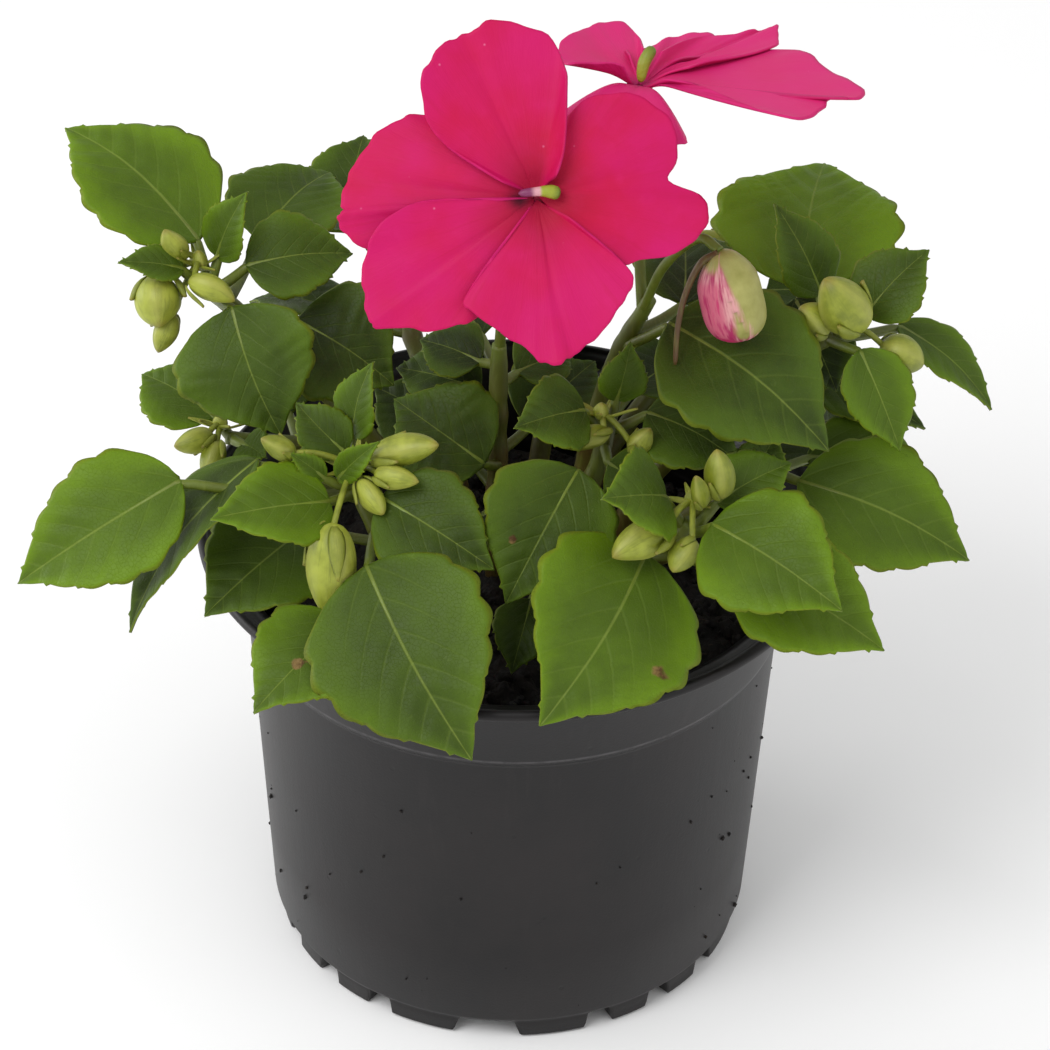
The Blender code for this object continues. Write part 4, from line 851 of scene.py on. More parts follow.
# %% Stem finish
def make_stem_finish():
    """Translucent-looking green that browns where tone is low, with fine lengthwise streaks."""
    stem = Recipe("stem_green", Metallic=0.0, Specular_IOR_Level=0.5)
    place = stem.place()
    stretched = stem.node("ShaderNodeMapping", None, {"Vector": place, "Scale": (1.0, 1.0, 0.15)})
    streaks = stem.noise(stretched, 1500.0, 3.0)
    clouds = stem.noise(place, 160.0, 3.0)
    tone = stem.number("tone") + (clouds - 0.5) * 0.5
    body = stem.blend(stem.rise(tone, 0.0, 0.55), paint(88, 62, 32), paint(84, 92, 22))
    young = stem.blend(stem.rise(tone, 0.5, 1.0), body, paint(110, 132, 32))
    colour = stem.blend(stem.rise(streaks, 0.45, 0.75) * 0.3, young, paint(126, 134, 52))
    return stem.finish(Base_Color=colour, Roughness=0.36 + streaks * 0.2,
                       Normal=stem.relief(streaks, 0.00015, 0.5))


stem_finish = make_stem_finish()

# %% Leafy stems
STEM_FOOT = 57.0
STEM_RINGS, STEM_SIDES = 60, 16
STALK_RADIUS = 0.85
STALK_SIDES = 10
STALK_TAPER = (1.15, 0.95)
STALK_SAG = 0.05
FLOWER_STALK_RINGS, FLOWER_STALK_SIDES = 40, 12
NODE_REACH = 2.2
STEM_THINNING = 0.38


def leaf_stalk(root, base, midrib):
    """A tube from the stem to the blade and on under it, thinning along the midrib."""
    root, base = np.array(root, float), np.array(base, float)
    under = midrib[2::4]
    sag = np.array((0.0, 0.0, -STALK_SAG * np.linalg.norm(base - root)))
    start = smooth_route([root, 0.5 * (root + base) + sag, midrib[1]], 12)[:-1]
    path = np.concatenate((start, under))
    free = np.linspace(*STALK_TAPER, len(start)) * STALK_RADIUS
    rib = STALK_RADIUS * (0.72 * (1.0 - np.linspace(0.0, 1.0, len(under))) ** 0.8 + 0.1)
    return tube(path, np.concatenate((free, rib)), STALK_SIDES, tone=np.linspace(0.55, 0.95, len(path)))


def stem_tube(route, thickness, roots):
    """The stem: a taper along a smooth route, with a swelling of a fifth at each leaf stalk's root."""
    path = smooth_route(route, STEM_RINGS)
    share = np.linspace(0.0, 1.0, len(path))
    away = np.linalg.norm(path[:, None, :] - np.asarray(roots, float)[None], axis=-1)
    swell = np.exp(-(away / NODE_REACH) ** 2).max(axis=1)
    radius = thickness * (1.0 - STEM_THINNING * share) * (1.0 + 0.2 * swell)
    return tube(path, radius, STEM_SIDES, tone=0.02 + 0.75 * share - 0.22 * swell)


def leafy_stem(name, thickness, route, leaves, flower_stalks, number):
    """Blades in one piece, and the stem with its stalks in another. Both stand for the same CAD node."""
    draw = np.random.default_rng(number)
    blades, tubes = [], [stem_tube(route, thickness, [leaf[0] for leaf in leaves])]
    for root, base, *looks in leaves:
        blade, midrib = leaf_surface(draw, base, *looks)
        blades.append(blade)
        tubes.append(leaf_stalk(root, base, midrib))
    for radius, places in flower_stalks:
        path = smooth_route(places, FLOWER_STALK_RINGS)
        tubes.append(tube(path, np.full(len(path), radius), FLOWER_STALK_SIDES, tone=0.7))
    label = name.replace("shoot_", "")
    put_mesh("leaves_" + label, joined(blades), leaf_finish, [name])
    put_mesh("stems_" + label, joined(tubes), stem_finish, [name])


# %% The twelve stems
# Every leafy stem: its radius, its route from the compost to its tip, and its leaves. A leaf has its
# stalk's root on the stem, its blade's base and tip, its width, the way it faces in degrees (its lean
# from straight up and the side it leans to), how light its green is, and where they differ from the usual
# its arch, its fold and its dry marks
STEMS = {
    "shoot_main": (1.9, [(-3, 0, STEM_FOOT), (-3, 1, 80), (-3, 2, 98), (-3, 3, 112)], [
        ((-3, 2, 99), (-6, 6, 101), (-20, 12, 101), 13, (35, 0), 0.26),
        ((-3, 0.5, 90), (-5, -5, 94), (-20, 3, 101), 20, (45, 0), 0.34),
        ((-3, 3, 108), (-6, 4, 108), (-16, 10, 108), 11, (30, 0), 0.2),
        ((-3, 3, 104), (0, 7, 104), (9, 14, 103), 11, (30, 0), 0.3),
        ((-3, 3, 106), (-6, 12, 108), (-14, 30, 108), 16, (15, 0), 0.2),
        ((-3, 0, 82), (-5, -8, 86), (-13, -20, 86), 13, (30, 0), 0.15),
        ((-3, 1, 92), (2, 7, 93), (13, 21, 97), 17, (35, 0), 0.28),
        ((-3, 1, 84), (-8, 8, 87), (-24, 21, 91), 19, (30, 0), 0.28),
    ]),
    "shoot_left_upper": (2.0, [(-10, 4, STEM_FOOT), (-15, 5, 78), (-36, 7, 105), (-51, 10, 118)], [
        ((-50, 10, 117), (-52, 14, 124), (-75, 34, 133), 24, (12, 0), 0.7),
        ((-50, 10, 117), (-49, 12, 122), (-44, 11, 135), 9, (60, -30), 0.6),
        ((-50, 9, 117), (-54, 7, 123), (-64, 4, 126), 6.5, (30, 0), 0.45),
        ((-49, 10, 117), (-44, 9, 122.5), (-27, 14, 122), 15, (35, 0), 0.4),
        ((-49, 9, 116), (-46, 2, 119), (-38, -8, 101), 24, (55, -20), 0.38),
        ((-47, 10, 115), (-43, 24, 118), (-32, 44, 119), 21, (15, -10), 0.44),
        ((-40, 8, 109), (-36, 9, 112), (-20, 4, 103), 22, (50, 20), 0.25),
    ]),
    "shoot_left_low": (1.6, [(-12, 10, STEM_FOOT), (-18, 11, 78), (-34, 10, 86), (-48, 8, 89)], [
        ((-47, 8, 88.8), (-50, 11, 91), (-63, 22, 92), 16, (20, 0), 0.6),
        ((-47, 8, 88.8), (-45, 5, 90), (-41, 0, 91), 8, (40, 0), 0.5),
        ((-36, 10, 86.5), (-38, 17, 88), (-46, 36, 86), 17, (10, 0), 0.3),
    ]),
    "shoot_left_front": (2.1, [(-8, -6, STEM_FOOT), (-13, -12, 76), (-21, -22, 92), (-25, -21, 101)], [
        ((-25, -21, 99), (-53, -22, 102), (-79, -30, 87), 21, (40, -10), 0.7),
        ((-24, -21, 98), (-41, -18, 103.5), (-61.5, -34.5, 81.5), 15, (38, -70), 0.32, 0.08, 0.2),
        ((-25, -21, 100), (-29, -27, 102), (-47, -36, 105), 15, (30, 10), 0.64),
        ((-25, -21, 100), (-26, -15, 106), (-23, -13, 119), 9, (60, -40), 0.55),
        ((-25, -21, 100), (-27, -18, 105), (-35, -13, 111), 9, (50, 0), 0.4),
        ((-25, -21, 100), (-28, -23.5, 103.8), (-21.5, -25.5, 112.5), 5, (60, -20), 0.6),
        ((-25, -21, 100), (-30, -24, 104.2), (-35.5, -24, 109), 4, (60, 20), 0.55),
        ((-24, -22, 99), (-21, -27, 103), (-3, -36, 96), 18, (45, 10), 0.35),
        ((-22, -22, 93), (-23, -37, 97), (-6, -60, 77), 30, (60, 0), 0.42),
        ((-19, -20, 88), (-26, -40, 88), (-40, -54, 81), 19, (30, -20), 0.6, 0.08, 0.1,
         ((-0.1, 0.42, 0.06), (0.0, 0.52, 0.05), (-0.16, 0.34, 0.05))),
        ((-19, -18, 87), (-33, -15, 88.5), (-49, -32, 83), 22, (35, -15), 0.4),
    ]),
    "shoot_centre": (1.9, [(5, -5, STEM_FOOT), (8, -8, 80), (13, -10, 97), (15, -8, 106)], [
        ((14, -9, 103), (11, -12, 110), (0, -20, 112), 13, (45, 0), 0.35),
        ((15, -8, 104), (16, -8, 109), (18, -6, 119), 8, (70, 10), 0.5),
        ((14, -9, 102), (15, -14, 101), (20, -14, 97), 9, (60, 20), 0.4),
        ((15, -8, 103), (21, -8, 107), (36, -13, 101), 16, (30, 0), 0.35),
        ((12, -10, 94), (10, -22, 105.5), (-1, -37, 90), 22, (60, 0), 0.38, 0.08, 0.1, ((0.16, 0.62, 0.03),)),
        ((9, -9, 84), (3, -28, 84), (0, -37, 76), 10, (40, 0), 0.3),
    ]),
    "shoot_right_mid": (1.9, [(9, 5, STEM_FOOT), (11, 5, 84), (15, 4, 106), (21, 2, 122)], [
        ((17, 3, 112), (24, -3, 121), (50, -16, 106), 27, (40, 20), 0.34, 0.1),
        ((19, 3, 115), (27, 10, 116), (27, 30, 118), 17, (15, 0), 0.2),
        ((12, 5, 92), (19, 14, 96), (30, 27, 94), 18, (15, 0), 0.2),
    ]),
    "shoot_right_front": (1.9, [(12, -8, STEM_FOOT), (17, -13, 77), (25, -22, 90), (28, -24, 97)], [
        ((27, -23, 95), (24, -26, 103.5), (14, -37, 111), 16, (40, 0), 0.55),
        ((25, -22, 89), (21, -29, 94.5), (5, -56, 81), 30, (60, 10), 0.66, 0.08, 0.1, ((-0.31, 0.5, 0.035),)),
        ((29, -24, 95), (31, -31, 102), (51, -46, 97), 22, (45, 10), 0.62),
        ((28, -24, 95), (32, -24, 101), (44, -17, 104), 11, (40, 0), 0.5),
        ((24, -21, 89), (35, -30, 93), (59, -38, 83), 20, (45, 20), 0.74),
    ]),
    "shoot_right_low": (1.7, [(15, -1, STEM_FOOT), (21, -3, 76), (34, -4, 88), (44, -3, 94)], [
        ((42, -3, 92.5), (46, -8, 94), (74, -15, 84), 23, (35, 10), 0.6),
        ((41, -3, 92), (48, 3, 91), (69, 5, 85), 17, (25, 20), 0.5),
        ((40, -3.5, 91.5), (38, -9, 95), (42, -9, 104), 9, (60, 0), 0.4),
        ((34, -4, 88), (40, 8, 88), (58, 26, 83), 19, (15, 20), 0.3),
    ]),
    "shoot_right_upper": (1.9, [(14, 7, STEM_FOOT), (21, 8, 80), (40, 7, 103), (51, 5, 114)], [
        ((46, 6, 109), (46, 15, 116), (51, 47, 121), 31, (20, -10), 0.84),
        ((50, 5, 113), (49, 9, 119), (41, 12, 134), 11, (50, 20), 0.4),
        ((51, 5, 113), (56, 6, 117), (66, 12, 126), 13, (40, -20), 0.4),
        ((50, 5, 113), (55, -1, 115), (62, -9, 101), 12, (60, 20), 0.58),
        ((50, 5, 113), (62, 11, 112), (78, 5, 100), 11, (40, 60), 0.5),
        ((45, 6, 108), (45, 12, 116), (52, 3, 104), 15, (50, 0), 0.22),
        ((36, 7, 99), (48, 16, 98), (68, 12, 91), 12, (20, 0), 0.3),
    ]),
    "shoot_back_left": (2.0, [(-7, 14, STEM_FOOT), (-11, 20, 78), (-18, 32, 94), (-22, 40, 104)], [
        ((-22, 40, 103), (-26, 45, 106), (-40, 57, 100), 19, (30, 200), 0.35),
        ((-22, 40, 103), (-19, 46, 106), (-14, 60, 96), 18, (40, 180), 0.35),
        ((-22, 39, 102), (-29, 43, 111), (-27, 57, 118), 16, (20, 0), 0.35),
        ((-18, 32, 94), (-28, 34, 96), (-46, 42, 94), 19, (20, 200), 0.35),
        ((-19, 34, 96), (-12, 34, 100), (0, 40, 106), 13, (20, 150), 0.35),
    ]),
    "shoot_back_mid": (2.0, [(2, 15, STEM_FOOT), (4, 20, 78), (7, 28, 94), (9, 33, 104)], [
        ((9, 33, 103), (6, 38, 106), (-4, 55, 101), 18, (35, 180), 0.35),
        ((9, 33, 103), (13, 38, 106), (19, 56, 98), 19, (35, 170), 0.35),
        ((9, 33, 102), (11, 32, 108), (15, 35, 120), 11, (60, 180), 0.35),
        ((6, 26, 90), (6, 38, 91), (2, 59, 84), 21, (30, 180), 0.35),
    ]),
    "shoot_back_right": (1.9, [(9, 13, STEM_FOOT), (14, 19, 76), (28, 32, 92), (35, 39, 101)], [
        ((35, 39, 100), (38, 44, 104), (50, 57, 98), 19, (30, 140), 0.35),
        ((35, 39, 100), (33, 44, 103), (30, 59, 95), 16, (30, 180), 0.35),
        ((34, 38, 99), (42, 37, 101), (58, 38, 98), 17, (30, 90), 0.35),
        ((28, 32, 92), (38, 29, 91), (57, 31, 86), 15, (25, 90), 0.35),
    ]),
}
# The stalks that carry the flowers, under the stem that each grows from: its radius and its places
FLOWER_STALKS = {
    "shoot_main": [
        (0.9, [(-3, 3, 110), (-2, 2, 124), (1, -2, 140), (1.0, -8, 146), (2.0, -12.6, 150.0)]),
    ],
    "shoot_right_mid": [
        (0.9, [(20, 2, 118), (19, 7, 132), (18.6, 11, 145), (18.6, 11.2, 153), (18.6, 11.4, 156)]),
        (0.8, [(20, 2, 120), (23, -2, 131), (28, -5.6, 138.6), (31.4, -8.4, 138.2)]),
    ],
}

for number, (name, stem) in enumerate(STEMS.items()):
    leafy_stem(name, *stem, FLOWER_STALKS.get(name, ()), 100 + number)

# %% [markdown]
# ## Buds
# Each shoot ends in a bunch of pale yellow-green buds on short stalks, pointed like drops and wrapped in
# sepals with a keel along each. A stretched sphere would be too plain. A tube whose radius swells and
# falls gives the drop, and the same formula raises three low keels along it.

# %% Bud finish
def make_bud_finish():
    """Pale yellow-green with paler keels, fine veins along the bud, and a tawny tip."""
    bud = Recipe("bud_green", Metallic=0.0, Specular_IOR_Level=0.5)
    place = bud.place()
    across, along = bud.flat()
    keel = bud.number("keel")
    mottling = bud.noise(place, 420.0, 4.0)
    lines = bud.noise(bud.vector(across * 38.0, along * 3.0, mottling), 1.0, 2.0)
    ripeness = bud.rise(mottling * 0.7 + bud.number("tone") * 0.5 + 0.15, 0.4, 0.9)
    body = bud.blend(ripeness, paint(110, 120, 22), paint(158, 166, 56))
    veined = bud.blend(bud.rise(lines, 0.52, 0.7) * 0.4, body, paint(100, 110, 26))
    keeled = bud.blend(keel * 0.4, veined, paint(176, 176, 90))
    colour = bud.blend(bud.rise(along, 0.86, 1.0) * 0.4, keeled, paint(138, 112, 50))
    return bud.finish(Base_Color=colour, Roughness=0.42 + mottling * 0.15,
                      Normal=bud.relief(lines, 0.00015, 0.5))


bud_finish = make_bud_finish()

# %% Bud bunches
PEDICEL_RADIUS = 0.5
PEDICEL_RINGS, PEDICEL_SIDES = 14, 10
BUD_RINGS, BUD_SIDES = 22, 24
BUD_FATTEST = 0.431
BUD_KEEL = 0.09
SEPAL_ROWS, SEPAL_COLUMNS = 12, 7
SEPAL_THICKNESS = 0.3
SEPAL_SHARE = 0.5
SCALES = 5
SCALE_STEP = 1.26
SEPAL_TURNS = (0.0, 2.4)


def bowed(start, end, bow, count):
    """Points from start to end on an arc: a straight line plus 4 t (1 - t) times the bow."""
    start, end, bow = (np.asarray(item, float) for item in (start, end, bow))
    t = np.linspace(0.0, 1.0, count)[:, None]
    return start * (1.0 - t) + end * t + 4.0 * t * (1.0 - t) * bow


def bud(base, tip, width, draw):
    """A drop: radius swells as t^0.5 (1 - t)^0.75 along a slightly bent axis, times three keels round it."""
    base, tip = np.asarray(base, float), np.asarray(tip, float)
    t = np.linspace(0.004, 0.996, BUD_RINGS)
    angle = round_angles(BUD_SIDES)
    swell = 0.5 * width * t ** 0.5 * (1.0 - t) ** 0.75 / BUD_FATTEST + 0.06
    keel = np.cos(1.5 * angle + draw.uniform(0.0, 6.0))[None, :] ** 8
    radii = swell[:, None] * (1.0 + BUD_KEEL * keel * np.sin(np.pi * t)[:, None])
    bend = draw.uniform(-0.05, 0.05, 3) * np.linalg.norm(tip - base)
    path = base + t[:, None] * (tip - base) + bend * (4.0 * t * (1.0 - t))[:, None]
    return tube(path, radii, BUD_SIDES, keel=np.broadcast_to(keel, radii.shape), tone=draw.uniform(0.0, 0.6))


def sepal(base, tip, width, turn, tone):
    """A pointed scale along the lower part of a bud: its half width goes as t^0.5 (1 - t).

    Its height over the bud's axis is a little more than the bud's own radius, and rises at its tip.
    """
    base, tip = np.asarray(base, float), np.asarray(tip, float)
    along = unit(tip - base)
    length = SEPAL_SHARE * np.linalg.norm(tip - base)
    side = unit(np.cross(along, (0.3, 0.2, 1.0)))
    out = math.cos(turn) * side + math.sin(turn) * np.cross(along, side)
    across = np.cross(along, out)
    t, s = np.meshgrid(np.linspace(0.0, 1.0, SEPAL_ROWS), np.linspace(-1.0, 1.0, SEPAL_COLUMNS),
                       indexing="ij")
    half = 0.24 * width * (t + 0.02) ** 0.5 * (1.02 - t) / 0.5
    lift = (0.5 * width * (t + 0.05) ** 0.5 * (1.0 - 0.5 * t) ** 0.75 / 0.55 * (1.0 - 0.16 * s ** 2)
            + 0.1 + 0.7 * t ** 3)
    grid = (base + (t * length)[..., None] * along + (half * s)[..., None] * across + lift[..., None] * out)
    flat = np.stack((0.5 + 0.5 * s, t), axis=-1)
    return shell(grid, SEPAL_THICKNESS, flat, tone=tone, keel=0.4 * (1.0 - np.abs(s)))


def bud_bunch(name, middle, radius, buds, number):
    """A core with small scales over the stem's tip, and each bud with its stalk and a pair of sepals."""
    draw = np.random.default_rng(number)
    middle = np.array(middle, float)
    up = np.array((0.0, 0.0, radius))
    pieces = [bud(middle - up, middle + 1.6 * up, 2.0 * radius, draw)]
    for turn in draw.uniform(0.0, 0.8) + np.arange(SCALES) * SCALE_STEP:
        way = np.array((math.cos(turn), math.sin(turn), draw.uniform(0.2, 1.3)))
        pieces.append(sepal(middle, middle + draw.uniform(8.0, 12.0) * unit(way), 3.0, 1.0, 0.3))
    for base, tip, width in buds:
        base, tip = np.array(base, float), np.array(tip, float)
        pieces.append(bud(base, tip, width, draw))
        inside = base + 0.12 * (tip - base)
        lift = np.array((0.0, 0.0, 0.12 * np.linalg.norm(inside - middle)))
        pieces.append(tube(bowed(middle, inside, lift, PEDICEL_RINGS), np.full(PEDICEL_RINGS, PEDICEL_RADIUS),
                           PEDICEL_SIDES, tone=0.2))
        start = draw.uniform(0.0, 2.0 * np.pi)
        pieces += [sepal(base, tip, width, start + turn, 0.1) for turn in SEPAL_TURNS]
    put_mesh(name.replace("buds_", "bunch_"), joined(pieces), bud_finish, [name])


# %% Where the buds sit
# Bud bunches: the core's middle and radius, then each bud's base, tip and width
BUDS = {
    "buds_left_upper": ((-51.8, 10.4, 122.0), 1.4, [
        ((-58, 8, 120.5), (-57.5, 1, 115.5), 7.4),
        ((-55.5, 5, 115.5), (-58, 1, 110.5), 3.8),
        ((-53, 4, 122.5), (-45.5, 2, 120), 4.0),
        ((-54, 10, 123.5), (-57, 9, 129), 4.0),
    ]),
    "buds_left_low": ((-48.8, 8.2, 91.6), 1.2, [
        ((-50, 5, 92), (-56, 1, 92), 4.0),
        ((-49, 4, 91), (-51, -2, 88), 4.0),
    ]),
    "buds_left_front": ((-25.5, -21.0, 104.2), 1.6, [
        ((-22.5, -23, 107.5), (-12, -26, 112.5), 5.0),
        ((-22, -26, 106.5), (-15, -29, 107.5), 3.8),
        ((-24.5, -26, 105.5), (-20.5, -31, 102.5), 3.6),
        ((-28.5, -33, 102), (-29, -38, 87), 7.6),
        ((-35, -22, 107), (-40, -23, 111), 3.6),
    ]),
    "buds_centre": ((13.6, -10.8, 108.6), 1.2, [
        ((15, -13, 106.5), (7.5, -18, 107), 3.6),
        ((18.5, -14, 103.5), (21.5, -14, 108), 3.6),
    ]),
    "buds_right_front": ((28.2, -22.9, 100.6), 1.3, [
        ((32.5, -26, 103.5), (31.5, -25, 112), 4.8),
        ((29.5, -28, 103), (28.2, -29.5, 110), 2.8),
        ((24.5, -30, 99.5), (15.5, -36.5, 99), 5.8),
        ((28.5, -31, 98.5), (25, -36, 96), 4.4),
    ]),
    "buds_right_upper": ((51.8, 4.4, 116.9), 1.5, [
        ((54.5, 1, 118), (48.5, -1, 128.5), 8.0),
        ((49, 1, 117), (45, -1, 123), 5.2),
        ((58.5, 2.5, 113.5), (65.5, 2, 110), 6.4),
    ]),
    "buds_back_left": ((-22.3, 40.6, 107.0), 1.4, [
        ((-22, 42, 110), (-20, 45, 115), 4.6),
        ((-20, 41, 108.5), (-16, 41, 112), 4.0),
    ]),
    "buds_back_mid": ((9.0, 34.0, 107.3), 1.4, [
        ((7, 37, 110), (3, 40, 112), 4.6),
        ((10, 39, 104), (9, 45, 98), 4.6),
    ]),
    "buds_back_right": ((35.2, 39.4, 103.2), 1.4, [
        ((35, 41, 108), (36, 44, 113), 4.6),
        ((33.5, 39.5, 107), (30, 39, 111), 4.0),
    ]),
}

for number, (name, bunch) in enumerate(BUDS.items()):
    bud_bunch(name, *bunch, 300 + number)

# %% [markdown]
# ## Open flowers
# Five wide petals, cerise and softly velvety, overlap round a small throat. Each is broader than long,
# with a shallow notch, fine veins that fan out from its foot, and a margin that waves a little. A petal's
# own outline is what makes a busy lizzie, so each petal is given by a few points of its edge, and the
# surface runs straight out to them from a narrow foot. One petal stands over the next where the
# photograph shows it.

# %% Petal finish
def make_petal_finish():
    """Cerise, redder at the foot and bluer at the margin, with veins that fan out, and a pinker underside."""
    petal = Recipe("petal_cerise", Metallic=0.0, Specular_IOR_Level=0.2)
    place = petal.place()
    across, out = petal.flat()
    mottling = petal.noise(place, 300.0, 4.0, 0.6)
    clouds = petal.noise(place, 70.0, 3.0)
    wander = petal.noise(place, 120.0, 2.0) * 0.05
    fan = petal.vector((across + wander) * 46.0, out * 1.5, 0.0)
    veins = petal.noise(fan, 1.0, 3.0, 0.6)
    fine = petal.noise(petal.vector((across + wander) * 190.0, out * 9.0, 0.0), 1.0, 2.0)
    body = petal.blend(petal.rise(clouds + out * 0.25, 0.35, 0.95), paint(188, 8, 62), paint(194, 14, 96))
    veined = petal.blend(petal.rise(veins, 0.5, 0.75) * 0.22, body, paint(176, 10, 58))
    speckled = petal.blend(petal.rise(mottling, 0.5, 0.85) * 0.16, veined, paint(214, 44, 122))
    footed = petal.blend(petal.rise(out, 0.5, 0.03) * 0.75, speckled, paint(150, 6, 36))
    # Painted shade: near black where the throat's pit lies in shade, here and at the spur's mouth
    throat = petal.blend(petal.number("throat"), footed, paint(64, 4, 26))
    back = petal.blend(petal.rise(veins, 0.4, 0.7), paint(194, 28, 104), paint(182, 18, 88))
    paled = petal.blend(petal.number("pale") * 0.55, throat, paint(222, 44, 126))
    dots = petal.rise(petal.cells(place, 330.0), 0.09, 0.02)
    scars = dots * petal.rise(petal.noise(place, 90.0), 0.52, 0.62)
    scarred = petal.blend(scars * 0.35, paled, paint(240, 150, 190))
    colour = petal.blend(petal.number("under"), scarred, back)
    height = veins * 0.6 + fine * 0.3 + mottling * 0.2
    return petal.finish(Base_Color=colour, Roughness=0.5 + mottling * 0.15,
                        Normal=petal.relief(height, 0.0002, 0.45))


petal_finish = make_petal_finish()

# %% Petal shape
PETAL = 0.4
PETAL_ROWS = 40
PETAL_COLUMNS = 72
FOOT_REACH = 0.5
PETAL_CREASE = 0.35
THROAT_DEPTH = 1.5


def flower_axes(normal):
    """The flower's own axes: rightward, upward in its plane, and the way it faces."""
    normal = unit(normal)
    level = (0.0, 1.0, 0.35) if abs(normal[2]) > 0.8 else (0.0, 0.0, 1.0)
    right = unit(np.cross(level, normal))
    return right, np.cross(normal, right), normal


def petal_surface(middle, axes, outline, lift, tilt, cup, draw, pale=0.0, throat=(0.0, 0.0)):
    """A petal as a shell: straight lines from a narrow foot to a smooth curve through its outline.

    The height over the flower's plane is lift u^1.6 for the petal's rise, tilt (2 v - 1) u for a slant from
    one side to the other, cup for its hollow, and low waves that grow towards the margin. u runs out from
    the foot and v runs clockwise along the outline.
    """
    right, up, normal = axes
    edge = smooth_route(np.asarray(outline, float), PETAL_COLUMNS)
    v = np.linspace(0.0, 1.0, PETAL_COLUMNS)[None, :]
    u = (np.linspace(0.0, 1.0, PETAL_ROWS) ** 0.85)[:, None]
    mean = unit(edge.mean(axis=0))
    foot = FOOT_REACH * unit(mean + 0.35 * (unit(edge) - mean))
    fine = (1.0 + 0.006 * np.sin(2.0 * np.pi * (9.0 * v[0] + draw.uniform()))
            + 0.004 * np.sin(2.0 * np.pi * (17.0 * v[0] + draw.uniform())))
    plan = foot + (edge * fine[:, None] - foot) * u[..., None]
    starts = draw.uniform(0.0, 2.0 * np.pi, 3)
    waves = (0.5 * np.sin(2.0 * np.pi * 1.6 * v + starts[0]) + 0.3 * np.sin(2.0 * np.pi * 3.3 * v + starts[1])
             + 0.12 * np.sin(2.0 * np.pi * 7.0 * v + starts[2]))
    crease = -PETAL_CREASE * np.exp(-((v - 0.5) / 0.05) ** 2) * np.sin(np.pi * u)
    side = 2.0 * v - 1.0
    height = (lift * u ** 1.6 + tilt * side * u + cup * (side ** 2 - 0.4) * u ** 1.5 + waves * u ** 3 + crease
              - THROAT_DEPTH * np.exp(-(u * np.linalg.norm(edge, axis=1) / 3.0) ** 2))
    grid = (np.asarray(middle, float) + plan[..., 0:1] * right + plan[..., 1:2] * up
            + height[..., None] * normal)
    # Painted shade round the throat, a pit that lies in shade
    dark = np.exp(-(((plan[..., 0] - throat[0]) / 1.7) ** 2 + ((plan[..., 1] - throat[1]) / 1.4) ** 2) ** 1.2)
    flat = np.stack((v + 0.0 * u, u + 0.0 * v), axis=-1)
    return shell(grid, PETAL, flat, throat=dark, pale=pale)


def open_flower(name, middle, axes, petals, draw, node, pale=0.0, throat=(0.0, 0.0)):
    """The petals of one flower in one piece. Each has its lift, tilt, cup and outline."""
    made = [petal_surface(middle, axes, outline, lift, tilt, cup, draw, pale, throat)
            for lift, tilt, cup, outline in petals]
    put_mesh(name, joined(made), petal_finish, [node])


def polar(points):
    """Outline points given as a turn in degrees and a reach in millimetres."""
    turn, reach = np.radians([point[0] for point in points]), np.array([point[1] for point in points])
    return np.stack((reach * np.cos(turn), reach * np.sin(turn)), axis=-1)


# %% Front flower
FRONT_MIDDLE = np.array((2.6, -15.5, 152.0))
FRONT_NORMAL = (0.05, -0.82, 0.57)
# The middle of the painted shade at the throat, in the flower's own axes
FRONT_THROAT = (-2.6, -0.4)
# Each petal's lift, tilt and cup, and its outline as turns in degrees and reaches in millimetres
FRONT_PETALS = [
    (1.6, 0.4, 1.0,
     [(158, 5), (151, 13.9), (148, 18), (143, 21.2), (135, 24.8), (129, 26.2), (122, 27.2), (116, 27.3),
      (111, 27.0), (106, 27.8), (97, 26.9), (85, 24.5), (78, 20.8), (74, 17), (62, 9), (45, 4)]),
    (-1.6, 0.3, 0.9,
     [(72, 3), (70, 10.8), (66, 14.4), (62, 16.9), (56, 18.9), (49, 20.9), (43, 22.4), (34, 23.4),
      (26, 23.8), (19, 23.2), (12, 21.8), (6.5, 20.6), (0.7, 24.6), (-2, 26.2), (-7, 26.6), (-13, 26.1),
      (-18, 24.6), (-26, 21.6), (-32, 18.5), (-40, 15.9), (-46, 5)]),
    (1.6, 0.4, -0.8,
     [(-33, 5), (-38, 16), (-42, 19.7), (-49, 20.4), (-59, 21.9), (-70, 23.7), (-77, 24.7), (-81, 25.4),
      (-85, 25.9), (-90, 25.2), (-95, 23.4), (-106, 21.5), (-122, 20.2), (-127, 18.0), (-126, 6)]),
    (-0.2, 0.9, -0.6,
     [(252, 7), (246, 17), (242, 21), (238, 22.8), (231.5, 25.9), (224, 28.5), (218, 31.8), (215, 31.8),
      (209, 30.6), (202, 29), (195, 26.8), (187.5, 23.5), (182, 18.4), (181, 13), (186, 5)]),
    (-2.6, 0.2, 0.8,
     [(205, 6), (200, 18), (196, 27.1), (190, 29.6), (185.4, 30.8), (183.4, 29.8), (181.5, 29.9),
      (175, 29.4), (168, 28.1), (159, 26.7), (151, 24.6), (145, 22.6), (140, 19), (136, 13), (140, 5)]),
]
front_axes = flower_axes(FRONT_NORMAL)
front_petals = [(*form, polar(outline)) for *form, outline in FRONT_PETALS]
open_flower("flower_front", FRONT_MIDDLE, front_axes, front_petals, np.random.default_rng(7), "petals_front",
            throat=FRONT_THROAT)

# %% Rear flower
REAR_MIDDLE = np.array((18.6, 11.5, 157.6))
REAR_NORMAL = (0.08, 0.22, 0.96)
